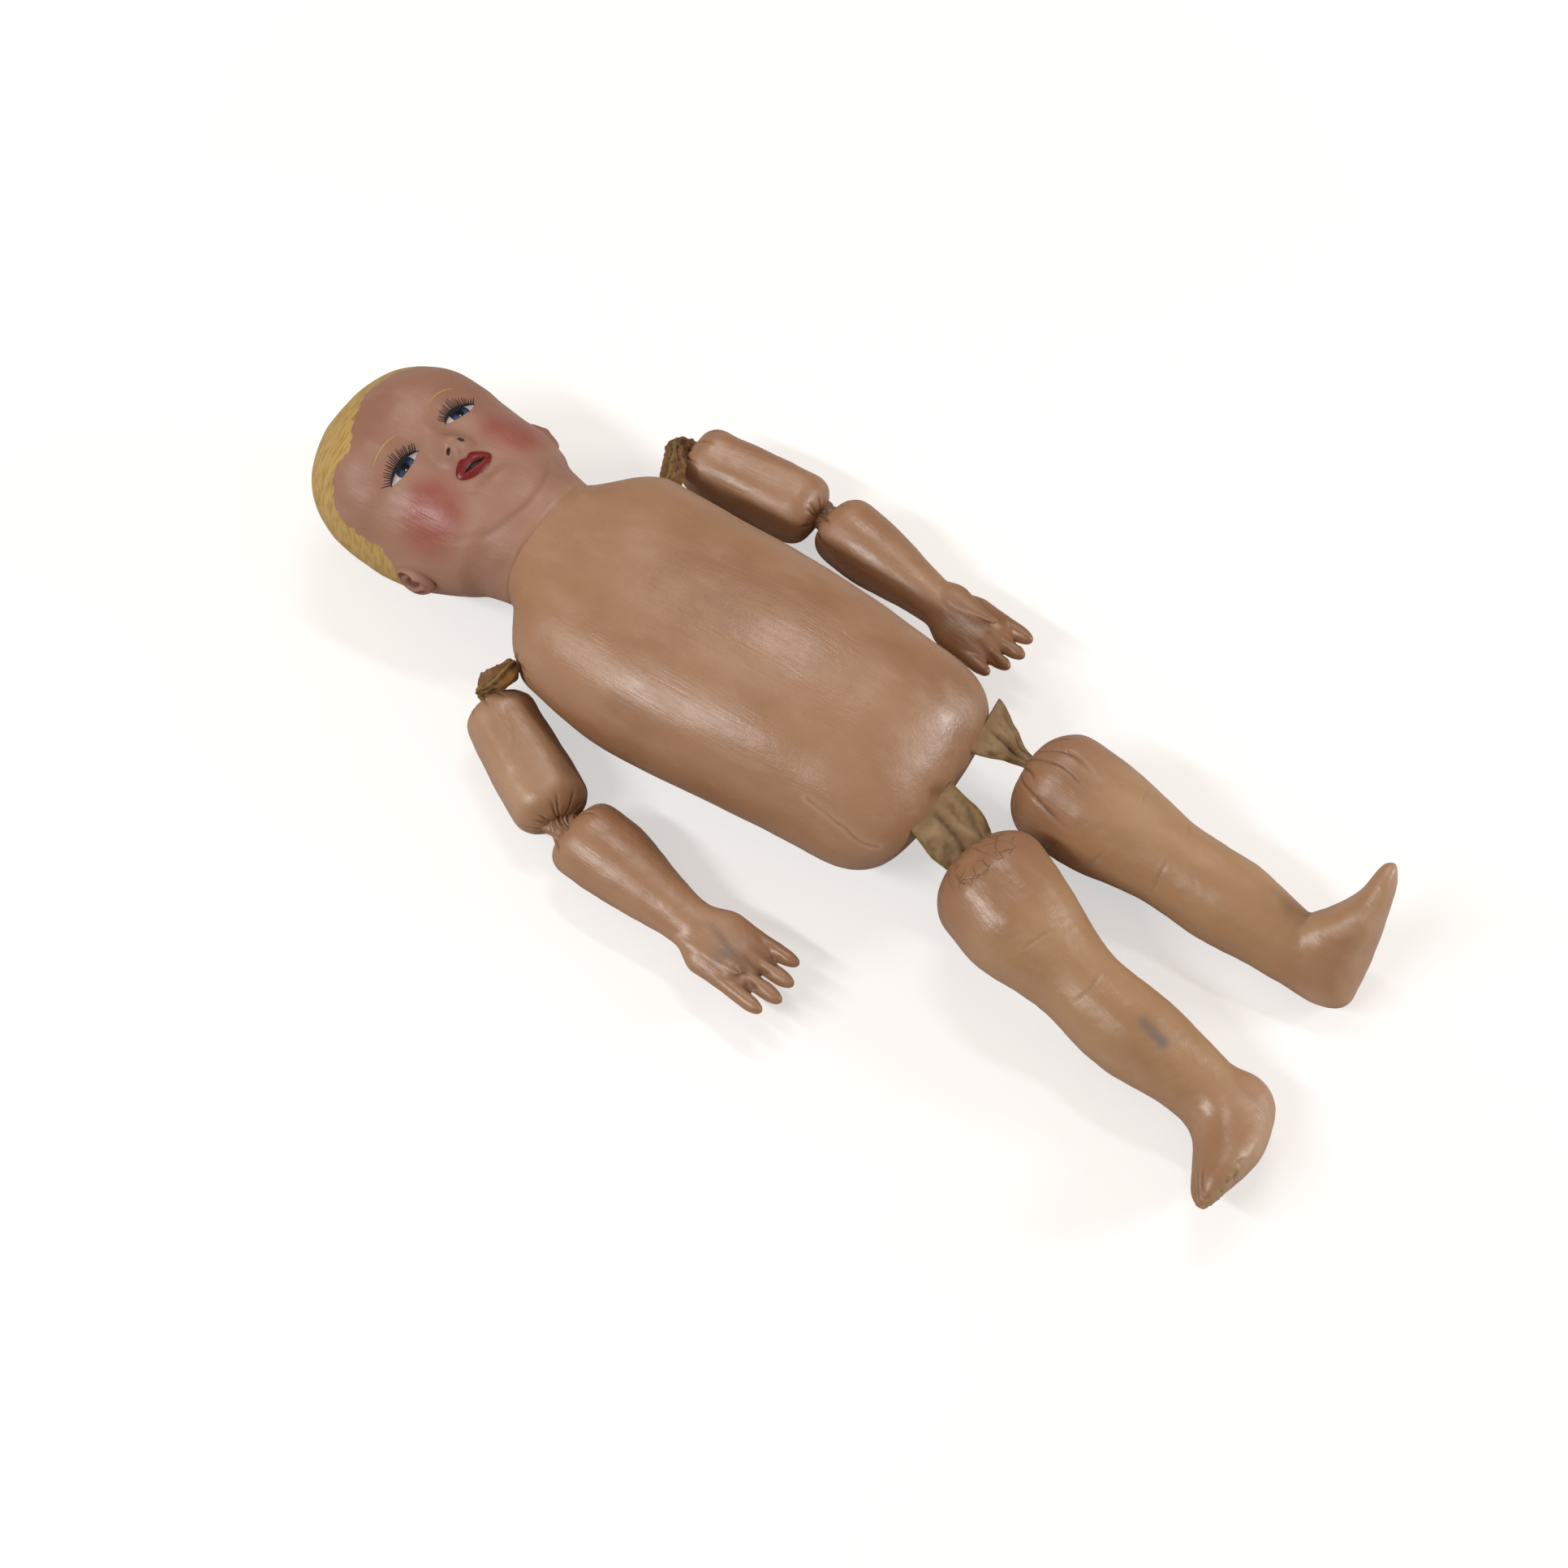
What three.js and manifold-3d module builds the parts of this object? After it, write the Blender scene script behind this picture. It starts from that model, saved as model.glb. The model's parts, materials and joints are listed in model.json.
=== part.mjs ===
// A stuffed cloth training doll with an oil-painted skin, lying on its back.
//
// Millimetres. +Y runs to the crown, +X to the doll's left hand and +Z up from the surface it lies on.
// The origin lies on the flat under its back.
//
// Head, torso and limbs are painted cloth covers round cotton stuffing. Short unpainted cloth straps
// carry the arms and legs, so each limb swings on the two ends of its strap.

import * as THREE from 'three';
import { mergeVertices } from 'three/addons/utils/BufferGeometryUtils.js';
import Module from 'manifold-3d';

const wasm = await Module();
wasm.setup();

// Cloth and fit
const SKIN = 1.8;
const FIT = 0.3;
const FLOOR_FLAT = 0.5;
const GATHER_RADIUS = 5;
const GATHER_HOLE_RADIUS = 1.5;

// Torso, measured down from the seam at the neck
const NECK_SEAM_Y = 127;
const TORSO_LENGTH = 258;
const SHOULDER_DROP = 30;
const CHEST_DROP = 95;
const BELLY_DROP = 165;
const HIP_DROP = 222;
const NECK_WIDTH = 72;
const NECK_DEPTH = 62;
const NECK_LIFT = 15;
const SHOULDER_WIDTH = 141;
const SHOULDER_DEPTH = 82;
const SHOULDER_LIFT = 4;
const CHEST_WIDTH = 148;
const CHEST_DEPTH = 94;
const BELLY_WIDTH = 138;
const BELLY_DEPTH = 99;
const HIP_WIDTH = 130;
const HIP_DEPTH = 88;
const SEAT_ROUND = 52;
const BELLY_SHIFT = -5;

// Head, measured up from the seam at the neck
const HEAD_LENGTH = 137;
const NECK_LENGTH = 14;
const HEAD_SHIFT = 4;
const CHIN_RISE = 25;
const MOUTH_RISE = 46;
const NOSE_RISE = 62;
const EYE_RISE = 74;
const TEMPLE_RISE = 86;
const JAW_WIDTH = 92;
const CHEEK_WIDTH = 112;
const TEMPLE_WIDTH = 120;
const CHIN_HEIGHT = 85;
const MOUTH_HEIGHT = 86;
const EYE_HEIGHT = 86;
const FOREHEAD_HEIGHT = 101;
const CROWN_ROUND = 62;
const NOSE_RELIEF = 10;
const NOSE_WIDTH = 13;
const EYE_SPACING = 44;
const EYE_WIDTH = 23;
const EYE_HOLLOW = 3;
const CHIN_RELIEF = 3;
const CHIN_WIDTH = 26;
const LIP_RELIEF = 2.5;
const MOUTH_WIDTH = 22;

// Applied ears
const EAR_RISE = 47;
const EAR_HEIGHT = 46;
const EAR_LENGTH = 25;
const EAR_DEPTH = 15;
const EAR_STAND = 9;
const EAR_RIM = 3;

// Shoulder straps, short crumpled cloth tubes
const SHOULDER_STRAP_RADIUS = 5.5;
const STRAP_BEND_LENGTH = 9;
const STRAP_BENDS = 4;
const SHOULDER_JOINT_HEIGHT = 45;

// Arms
const UPPER_ARM_LENGTH = 82;
const UPPER_ARM_RADIUS = 19.6;
const UPPER_ARM_TOP_RADIUS = 18.4;
const ARM_END_ROUND = 14;
const ELBOW_STRAP_RADIUS = 2.8;
const ELBOW_STRAP_LENGTH = 1;
const FOREARM_LENGTH = 84;
const FOREARM_RADIUS = 19.4;
const FOREARM_SWELL = 24;
const WRIST_WIDTH = 26;
const WRIST_DEPTH = 22;
const PALM_WIDTH = 38;
const PALM_DEPTH = 16;
const PALM_LENGTH = 33;
const FINGER_RADIUS = 5;
const FINGER_TIP_RADIUS = 4;
const FINGER_STEP = 9.2;
const FINGER_FAN = 2;
const INDEX_LENGTH = 20;
const MIDDLE_LENGTH = 24;
const RING_LENGTH = 23;
const LITTLE_LENGTH = 18;
const THUMB_RADIUS = 5.6;
const THUMB_TIP_RADIUS = 3.8;
const THUMB_LENGTH = 33;
const THUMB_RISE = 8;

// Hip flaps, flat tabs of unpainted cloth
const LEFT_HIP_OUT = 35;
const RIGHT_HIP_OUT = 21;
const HIP_JOINT_HEIGHT = 50;
const HIP_FLAP_WIDTH = 35;
const HIP_FLAP_LENGTH = 29;
const HIP_FLAP_THICKNESS = 3.2;
const LEFT_FLAP_END_RADIUS = 7;
const RIGHT_FLAP_END_RADIUS = 13;

// Legs, one piece from the hip to the toes
const LEG_LENGTH = 200;
const THIGH_RADIUS = 28;
const THIGH_DROP = 34;
const KNEE_RADIUS = 21.8;
const KNEE_DROP = 88;
const CALF_RADIUS = 23.4;
const CALF_DROP = 119;
const ANKLE_RADIUS = 16.8;
const ANKLE_DROP = 171;
const LEG_END_ROUND = 22;
const FOOT_LENGTH = 76;
const HEEL_BACK = 21;
const HEEL_WIDTH = 31;
const HEEL_HEIGHT = 33;
const INSTEP_HEIGHT = 36;
const INSTEP_REACH = 27;
const BALL_WIDTH = 36;
const BALL_HEIGHT = 22;
const BALL_REACH = 54;
const TOE_WIDTH = 29;
const TOE_HEIGHT = 11;
const FOOT_END_ROUND = 13;

// How each limb lies. The arm end of a strap is so many millimetres out, headward and down from its
// torso end, and a knee bows so many to the front. Angles are in degrees: spread is away from the
// midline, dip is below level, roll turns the toes outwards and tilt lifts them towards the shin.
const LEFT_ARM_REST = {
  strapOut: 38,
  strapHeadward: 16,
  strapDrop: 21,
  spread: 4,
  forearmSpread: -9,
  thumbTurn: 30,
};
const RIGHT_ARM_REST = {
  strapOut: 6,
  strapHeadward: 11,
  strapDrop: 24,
  spread: 28,
  forearmSpread: 6,
  thumbTurn: 8,
};
const LEFT_LEG_REST = { flapDip: 33, spread: -3, roll: 42, kneeBow: -2, footTilt: 12 };
const RIGHT_LEG_REST = { flapDip: 33, spread: 15, roll: 72, kneeBow: 9, footTilt: -5 };

// How finely each form is faceted
const TORSO_FACETS = { sides: 28, rings: 20 };
const TORSO_INSIDE = { sides: 14, rings: 10 };
const HEAD_FACETS = { sides: 36, rings: 28 };
const HEAD_INSIDE = { sides: 14, rings: 12 };
const ARM_FACETS = { sides: 14, rings: 10 };
const FOREARM_FACETS = { sides: 14, rings: 14 };
const ARM_INSIDE = { sides: 8, rings: 8 };
const LEG_FACETS = { sides: 16, rings: 18 };
const LEG_INSIDE = { sides: 8, rings: 10 };
const FOOT_FACETS = { sides: 14, rings: 10 };
const FOOT_INSIDE = { sides: 8, rings: 6 };
const ROUND_SIDES = 10;

// Colours and roughness of the paint and the cloth
const PAINTED_SKIN = 0xb08a6c;
const PAINTED_FACE = 0xac8472;
const STRAP_CLOTH = 0x8f7444;
const FLAP_CLOTH = 0x96804f;
const COTTON = 0xd9cfb8;
const PAINT_ROUGHNESS = 0.5;
const CLOTH_ROUGHNESS = 0.95;
const COTTON_ROUGHNESS = 1;

const { degToRad, clamp } = THREE.MathUtils;

// Smooth curve through pairs of place and value, without overshoot
function smoothThrough(points) {
  const last = points.length - 1;
  const slopes = points.map((point, i) => {
    if (i === 0 || i === last) {
      return 0;
    }
    const before = (point[1] - points[i - 1][1]) / (point[0] - points[i - 1][0]);
    const after = (points[i + 1][1] - point[1]) / (points[i + 1][0] - point[0]);
    return before * after <= 0 ? 0 : (2 * before * after) / (before + after);
  });
  return (at) => {
    let i = 0;
    while (i < last - 1 && at > points[i + 1][0]) {
      i += 1;
    }
    const span = points[i + 1][0] - points[i][0];
    const t = clamp((at - points[i][0]) / span, 0, 1);
    const ease = t * t * (3 - 2 * t);
    const bend = t * (1 - t) * (slopes[i] * (1 - t) - slopes[i + 1] * t);
    return points[i][1] * (1 - ease) + points[i + 1][1] * ease + span * bend;
  };
}

function bump(distance, halfWidth) {
  return Math.exp(-((distance / halfWidth) ** 2));
}

// How far a rounded end has opened: 0 at its tip and 1 where the full section starts
function openedAt(fromTip, round, power) {
  if (fromTip >= round) {
    return 1;
  }
  const left = 1 - Math.max(fromTip, 0) / round;
  return (1 - left ** power) ** (1 / power);
}

function sectionAt(form, at) {
  const low = form.low(at);
  const high = form.high(at);
  const fromStart = at - form.from;
  const fromEnd = form.to - at;
  const open = (power) => {
    const start = openedAt(fromStart, form.startRound, power);
    return start * openedAt(fromEnd, form.endRound, power);
  };
  return {
    middle: (low + high) / 2,
    halfWidth: GATHER_RADIUS + (form.halfWidth(at) - GATHER_RADIUS) * open(form.endPower),
    halfDepth: GATHER_RADIUS + ((high - low) / 2 - GATHER_RADIUS) * open(2),
  };
}

// Turns faces outwards
function facingOut(geometry) {
  const place = geometry.getAttribute('position');
  const index = geometry.getIndex().array;
  const [a, b, c] = [new THREE.Vector3(), new THREE.Vector3(), new THREE.Vector3()];
  let volume = 0;
  for (let i = 0; i < index.length; i += 3) {
    a.fromBufferAttribute(place, index[i]);
    b.fromBufferAttribute(place, index[i + 1]);
    c.fromBufferAttribute(place, index[i + 2]);
    volume += a.dot(b.cross(c));
  }
  if (volume < 0) {
    for (let i = 0; i < index.length; i += 3) {
      [index[i + 1], index[i + 2]] = [index[i + 2], index[i + 1]];
    }
  }
  return geometry;
}

// A stuffed form as oval rings along Y with flat ends. Grow lays its surface further out, or in where
// it is negative; spare lengthens a negative form past its start, to open a cavity there.
function formGeometry(form, { grow = 0, spare = 0, sides, rings }) {
  const points = [];
  const index = [];
  for (let ring = 0; ring <= rings; ring += 1) {
    const even = ring / rings;
    const crowded = even - (form.crowd * Math.sin(2 * Math.PI * even)) / (2 * Math.PI);
    const at = form.from + (form.to - form.from) * crowded;
    const shift = grow * (2 * crowded - 1) - (ring === 0 ? spare : 0);
    const section = sectionAt(form, at);
    for (let side = 0; side < sides; side += 1) {
      const turn = (2 * Math.PI * side) / sides - Math.PI / 2;
      const angle = turn + form.frontCrowd * Math.cos(turn);
      const across = Math.sign(Math.cos(angle)) * Math.abs(Math.cos(angle)) ** (2 / form.square);
      const upward = Math.sign(Math.sin(angle)) * Math.abs(Math.sin(angle)) ** (2 / form.square);
      const x = across * (section.halfWidth + grow);
      const z = section.middle + upward * (section.halfDepth + grow);
      points.push(x + form.lean(at), form.heading * (at + shift), z + form.relief(x, at, upward));
    }
  }
  for (let ring = 0; ring < rings; ring += 1) {
    for (let side = 0; side < sides; side += 1) {
      const a = ring * sides + side;
      const b = ring * sides + ((side + 1) % sides);
      index.push(a, b, a + sides, b, b + sides, a + sides);
    }
  }
  for (let side = 1; side < sides - 1; side += 1) {
    const top = rings * sides;
    index.push(0, side + 1, side, top, top + side, top + side + 1);
  }
  const geometry = new THREE.BufferGeometry();
  geometry.setAttribute('position', new THREE.Float32BufferAttribute(points, 3));
  geometry.setIndex(index);
  return facingOut(geometry);
}

// Joining and cutting
function toSolid(geometry) {
  const bare = geometry.clone();
  bare.deleteAttribute('normal');
  bare.deleteAttribute('uv');
  const welded = facingOut(mergeVertices(bare, 1e-4));
  const vertProperties = new Float32Array(welded.getAttribute('position').array);
  const triVerts = new Uint32Array(welded.getIndex().array);
  return new wasm.Manifold(new wasm.Mesh({ numProp: 3, vertProperties, triVerts }));
}

function toGeometry(solid) {
  const mesh = solid.getMesh();
  const geometry = new THREE.BufferGeometry();
  geometry.setAttribute('position', new THREE.Float32BufferAttribute(mesh.vertProperties, 3));
  geometry.setIndex(new THREE.Uint32BufferAttribute(mesh.triVerts, 1));
  return geometry;
}

function joined(geometries) {
  return geometries.map(toSolid).reduce((whole, piece) => whole.add(piece));
}

// Presses a form flat where it lies on the floor; frame is the form's own place in the doll.
function pressedFlat(solid, frame) {
  const size = 4 * (HEAD_LENGTH + TORSO_LENGTH + LEG_LENGTH);
  const floor = new THREE.BoxGeometry(size, size, size).translate(0, 0, -size / 2);
  return toGeometry(solid.subtract(toSolid(floor.applyMatrix4(frame.clone().invert()))));
}

// A hole along Y through the gathered end at the origin of a limb's form
function gatherHole() {
  const length = 4 * SKIN;
  return toSolid(new THREE.CylinderGeometry(GATHER_HOLE_RADIUS, GATHER_HOLE_RADIUS, length, ROUND_SIDES));
}

// Frames: turned about Z, then pitched about X, then rolled about the form's own axis
function frameOf(position, turn, pitch = 0, roll = 0) {
  const rotation = new THREE.Quaternion().setFromEuler(new THREE.Euler(pitch, roll, turn, 'ZXY'));
  return new THREE.Matrix4().compose(position, rotation, new THREE.Vector3(1, 1, 1));
}

function pointIn(frame, x, y, z) {
  return new THREE.Vector3(x, y, z).applyMatrix4(frame);
}

function groupAt(frame, parentFrame = new THREE.Matrix4()) {
  const group = new THREE.Group();
  parentFrame.clone().invert().multiply(frame).decompose(group.position, group.quaternion, group.scale);
  return group;
}

// The pitch at which a limb that falls about its root comes to lie on the floor
function restingPitch(geometry, frameAtPitch) {
  const place = geometry.getAttribute('position');
  const point = new THREE.Vector3();
  let raised = -Math.PI / 2;
  let fallen = Math.PI / 2;
  for (let step = 0; step < 40; step += 1) {
    const pitch = (raised + fallen) / 2;
    const frame = frameAtPitch(pitch);
    let lowest = Infinity;
    for (let i = 0; i < place.count; i += 1) {
      lowest = Math.min(lowest, point.fromBufferAttribute(place, i).applyMatrix4(frame).z);
    }
    if (lowest > -FLOOR_FLAT) {
      raised = pitch;
    } else {
      fallen = pitch;
    }
  }
  return raised;
}

// Where a line from outside meets a mesh
function seatOn(mesh, from, direction) {
  mesh.updateWorldMatrix(true, false);
  const [hit] = new THREE.Raycaster(from, direction).intersectObject(mesh);
  return { point: hit.point, normal: hit.face.normal };
}

function addMesh(parent, name, geometry, color, roughness) {
  const mesh = new THREE.Mesh(geometry, new THREE.MeshStandardMaterial({ color, roughness, metalness: 0 }));
  mesh.name = name;
  parent.add(mesh);
  return mesh;
}

// Forms start at their seam or gathered end and run along Y: heading 1 to the crown, -1 to the feet.
const PLAIN_FORM = {
  from: 0,
  heading: -1,
  startRound: 0,
  endRound: 0,
  endPower: 2,
  square: 2,
  crowd: 0.75,
  frontCrowd: 0,
  lean: () => 0,
  relief: () => 0,
};

function torsoForm() {
  return {
    ...PLAIN_FORM,
    to: TORSO_LENGTH,
    endRound: SEAT_ROUND,
    endPower: 3.6,
    square: 2.3,
    lean: smoothThrough([
      [0, HEAD_SHIFT],
      [CHEST_DROP, BELLY_SHIFT],
      [TORSO_LENGTH, BELLY_SHIFT],
    ]),
    halfWidth: smoothThrough([
      [0, NECK_WIDTH / 2],
      [SHOULDER_DROP, SHOULDER_WIDTH / 2],
      [CHEST_DROP, CHEST_WIDTH / 2],
      [BELLY_DROP, BELLY_WIDTH / 2],
      [HIP_DROP, HIP_WIDTH / 2],
      [TORSO_LENGTH, HIP_WIDTH / 2],
    ]),
    low: smoothThrough([
      [0, NECK_LIFT],
      [SHOULDER_DROP, SHOULDER_LIFT],
      [CHEST_DROP, -FLOOR_FLAT],
      [TORSO_LENGTH, -FLOOR_FLAT],
    ]),
    high: smoothThrough([
      [0, NECK_LIFT + NECK_DEPTH],
      [SHOULDER_DROP, SHOULDER_LIFT + SHOULDER_DEPTH],
      [CHEST_DROP, CHEST_DEPTH],
      [BELLY_DROP, BELLY_DEPTH],
      [HIP_DROP, HIP_DEPTH],
      [TORSO_LENGTH, HIP_DEPTH],
    ]),
  };
}

// Nose, eye hollows, lips and chin, as heights over the front of the head
function faceRelief(x, at, upward) {
  const front = Math.max(upward, 0) ** 2;
  const nose = NOSE_RELIEF * bump(x, NOSE_WIDTH / 2) * bump(at - NOSE_RISE, NOSE_WIDTH / 2);
  const bridge = EYE_HOLLOW * bump(x, NOSE_WIDTH / 2) * bump(at - EYE_RISE, NOSE_WIDTH / 2);
  const fromEye = Math.abs(x) - EYE_SPACING / 2;
  const eyes = EYE_HOLLOW * bump(fromEye, EYE_WIDTH / 2) * bump(at - EYE_RISE, EYE_WIDTH / 3);
  const lips = LIP_RELIEF * bump(x, MOUTH_WIDTH / 2) * bump(at - MOUTH_RISE, MOUTH_WIDTH / 4);
  const chin = CHIN_RELIEF * bump(x, CHIN_WIDTH / 2) * bump(at - CHIN_RISE, CHIN_WIDTH / 4);
  return front * (nose + bridge + lips + chin - eyes);
}

// The inside of the head is plain, and clear of the eye hollows.
function insideRelief(x, at, upward) {
  return -EYE_HOLLOW * Math.max(upward, 0) ** 2;
}

function headForm(relief) {
  return {
    ...PLAIN_FORM,
    heading: 1,
    to: HEAD_LENGTH,
    endRound: CROWN_ROUND,
    endPower: 2.4,
    square: 2.15,
    crowd: 0.4,
    frontCrowd: 0.5,
    relief,
    halfWidth: smoothThrough([
      [0, NECK_WIDTH / 2],
      [NECK_LENGTH, NECK_WIDTH / 2],
      [CHIN_RISE, JAW_WIDTH / 2],
      [EAR_RISE, CHEEK_WIDTH / 2],
      [TEMPLE_RISE, TEMPLE_WIDTH / 2],
      [HEAD_LENGTH, TEMPLE_WIDTH / 2],
    ]),
    low: smoothThrough([
      [0, NECK_LIFT],
      [NECK_LENGTH, NECK_LIFT],
      [EYE_RISE, -FLOOR_FLAT],
      [HEAD_LENGTH, -FLOOR_FLAT],
    ]),
    high: smoothThrough([
      [0, NECK_LIFT + NECK_DEPTH],
      [NECK_LENGTH, NECK_LIFT + NECK_DEPTH],
      [CHIN_RISE, CHIN_HEIGHT],
      [MOUTH_RISE, MOUTH_HEIGHT],
      [EYE_RISE, EYE_HEIGHT],
      [TEMPLE_RISE + NECK_LENGTH, FOREHEAD_HEIGHT],
      [HEAD_LENGTH, FOREHEAD_HEIGHT],
    ]),
  };
}

// A limb is as deep as it is wide unless it has a depth of its own.
function limbForm(length, startRound, endRound, halfWidth, halfDepth = halfWidth) {
  const low = (at) => -halfDepth(at);
  return { ...PLAIN_FORM, to: length, startRound, endRound, halfWidth, low, high: halfDepth };
}

function upperArmForm() {
  const radius = smoothThrough([
    [0, UPPER_ARM_TOP_RADIUS],
    [ARM_END_ROUND, UPPER_ARM_TOP_RADIUS],
    [UPPER_ARM_LENGTH - ARM_END_ROUND, UPPER_ARM_RADIUS],
    [UPPER_ARM_LENGTH, UPPER_ARM_RADIUS],
  ]);
  return limbForm(UPPER_ARM_LENGTH, ARM_END_ROUND, ARM_END_ROUND, radius);
}

const KNUCKLE_DROP = FOREARM_LENGTH + PALM_LENGTH;

function forearmForm() {
  const along = (wrist, palm) => smoothThrough([
    [0, FOREARM_RADIUS],
    [FOREARM_SWELL, FOREARM_RADIUS],
    [FOREARM_LENGTH, wrist / 2],
    [FOREARM_LENGTH + PALM_LENGTH / 2, palm / 2],
    [KNUCKLE_DROP, palm / 2],
  ]);
  const halfWidth = along(WRIST_WIDTH, PALM_WIDTH);
  const halfDepth = along(WRIST_DEPTH, PALM_DEPTH);
  return { ...limbForm(KNUCKLE_DROP, ARM_END_ROUND, PALM_DEPTH / 2, halfWidth, halfDepth), endPower: 3 };
}

function legForm(kneeBow) {
  const radius = smoothThrough([
    [0, THIGH_RADIUS],
    [THIGH_DROP, THIGH_RADIUS],
    [KNEE_DROP, KNEE_RADIUS],
    [CALF_DROP, CALF_RADIUS],
    [ANKLE_DROP, ANKLE_RADIUS],
    [LEG_LENGTH, ANKLE_RADIUS],
  ]);
  const bow = smoothThrough([
    [0, 0],
    [KNEE_DROP, kneeBow],
    [ANKLE_DROP, 0],
    [LEG_LENGTH, 0],
  ]);
  const low = (at) => bow(at) - radius(at);
  const high = (at) => bow(at) + radius(at);
  return { ...limbForm(LEG_LENGTH - TOE_HEIGHT, LEG_END_ROUND, FOOT_END_ROUND, radius), low, high };
}

// The foot runs along Y from heel to toes, with its sole at z = 0.
function footForm() {
  return {
    ...PLAIN_FORM,
    heading: 1,
    to: FOOT_LENGTH,
    startRound: FOOT_END_ROUND,
    endRound: FOOT_END_ROUND,
    square: 2.3,
    halfWidth: smoothThrough([
      [0, HEEL_WIDTH / 2],
      [INSTEP_REACH, HEEL_WIDTH / 2],
      [BALL_REACH, BALL_WIDTH / 2],
      [FOOT_LENGTH, TOE_WIDTH / 2],
    ]),
    low: () => 0,
    high: smoothThrough([
      [0, HEEL_HEIGHT],
      [INSTEP_REACH, INSTEP_HEIGHT],
      [BALL_REACH, BALL_HEIGHT],
      [FOOT_LENGTH, TOE_HEIGHT],
    ]),
  };
}

// A finger or thumb from the origin along -Y: a taper with a round tip
function fingerGeometry(radius, tipRadius, length) {
  const steps = 3;
  const profile = [new THREE.Vector2(0, 0), new THREE.Vector2(radius, 0)];
  for (let step = 0; step < steps; step += 1) {
    const angle = (Math.PI / 2) * (step / steps);
    const drop = length - tipRadius + tipRadius * Math.sin(angle);
    profile.push(new THREE.Vector2(tipRadius * Math.cos(angle), -drop));
  }
  profile.push(new THREE.Vector2(0, -length));
  return new THREE.LatheGeometry(profile, ROUND_SIDES);
}

// Four fingers, the index on the outer side
function fingerGeometries(side) {
  const lengths = [INDEX_LENGTH, MIDDLE_LENGTH, RING_LENGTH, LITTLE_LENGTH];
  const root = KNUCKLE_DROP - PALM_DEPTH;
  return lengths.map((length, i) => {
    const place = side * ((lengths.length - 1) / 2 - i);
    const finger = fingerGeometry(FINGER_RADIUS, FINGER_TIP_RADIUS, PALM_DEPTH + length);
    return finger.rotateZ(degToRad(FINGER_FAN * place)).translate(FINGER_STEP * place, -root, 0);
  });
}

// The foot in the leg's own frame: sole across the end of the leg, toes to the front
function footGeometry(grow, facets, tilt) {
  const foot = formGeometry(footForm(), { grow, ...facets });
  foot.translate(0, -HEEL_BACK, -INSTEP_HEIGHT).rotateX(degToRad(tilt));
  return foot.rotateX(-Math.PI / 2).rotateY(Math.PI).translate(0, INSTEP_HEIGHT - LEG_LENGTH, 0);
}

const INNER = -SKIN;
const CORE = -SKIN - FIT;

function addTorso(doll) {
  const form = torsoForm();
  const frame = frameOf(new THREE.Vector3(0, NECK_SEAM_Y, 0), 0);
  const outer = toSolid(formGeometry(form, TORSO_FACETS));
  const cavity = toSolid(formGeometry(form, { grow: INNER, spare: 2 * SKIN, ...TORSO_INSIDE }));
  const group = groupAt(frame);
  doll.add(group);
  const core = formGeometry(form, { grow: CORE, ...TORSO_INSIDE });
  addMesh(group, 'torso_stuffing', core, COTTON, COTTON_ROUGHNESS);
  const cover = pressedFlat(outer.subtract(cavity), frame);
  return addMesh(group, 'torso_cover', cover, PAINTED_SKIN, PAINT_ROUGHNESS);
}

// An applied ear: a shallow bowl with a rim, open to the front
function earGeometry(side, headSolid) {
  const shell = new THREE.SphereGeometry(1, 14, 10).scale(EAR_STAND, EAR_LENGTH / 2, EAR_DEPTH / 2);
  const bowl = new THREE.SphereGeometry(1, 12, 8);
  bowl.scale(EAR_STAND - EAR_RIM, EAR_LENGTH / 2 - EAR_RIM, EAR_DEPTH / 2 - EAR_RIM / 2);
  bowl.translate(side * EAR_RIM, 0, EAR_DEPTH / 2);
  const solid = toSolid(shell).subtract(toSolid(bowl));
  const place = new THREE.Matrix4().makeTranslation((side * CHEEK_WIDTH) / 2, EAR_RISE, EAR_HEIGHT);
  const ear = toSolid(toGeometry(solid).applyMatrix4(place));
  return toGeometry(ear.subtract(headSolid));
}

function addHead(doll) {
  const form = headForm(faceRelief);
  const inside = headForm(insideRelief);
  const frame = frameOf(new THREE.Vector3(HEAD_SHIFT, NECK_SEAM_Y + FIT, 0), 0);
  const group = groupAt(frame);
  doll.add(group);
  const outer = toSolid(formGeometry(form, HEAD_FACETS));
  const cavity = toSolid(formGeometry(inside, { grow: INNER, spare: 2 * SKIN, ...HEAD_INSIDE }));
  const core = formGeometry(inside, { grow: CORE, ...HEAD_INSIDE });
  addMesh(group, 'head_cover', pressedFlat(outer.subtract(cavity), frame), PAINTED_FACE, PAINT_ROUGHNESS);
  addMesh(group, 'head_stuffing', core, COTTON, COTTON_ROUGHNESS);
  const clear = toSolid(formGeometry(form, { grow: FIT, ...HEAD_FACETS }));
  addMesh(group, 'ear_left', earGeometry(1, clear), PAINTED_FACE, PAINT_ROUGHNESS);
  addMesh(group, 'ear_right', earGeometry(-1, clear), PAINTED_FACE, PAINT_ROUGHNESS);
}

// A round-ended rod from one point to another
function rodBetween(start, end, radius) {
  const along = end.clone().sub(start);
  const upright = new THREE.Vector3(0, 1, 0);
  const turn = new THREE.Quaternion().setFromUnitVectors(upright, along.clone().normalize());
  const middle = start.clone().addScaledVector(along, 0.5);
  return new THREE.CapsuleGeometry(radius, along.length(), ROUND_SIDES / 2, ROUND_SIDES)
    .applyQuaternion(turn)
    .translate(...middle);
}

// A crumpled cloth tube along a curved path
function strapGeometry(path, radius) {
  const bends = path.getPoints(STRAP_BENDS);
  const rods = bends.slice(1).map((bend, i) => rodBetween(bends[i], bend, radius));
  return toGeometry(joined(rods));
}

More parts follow.
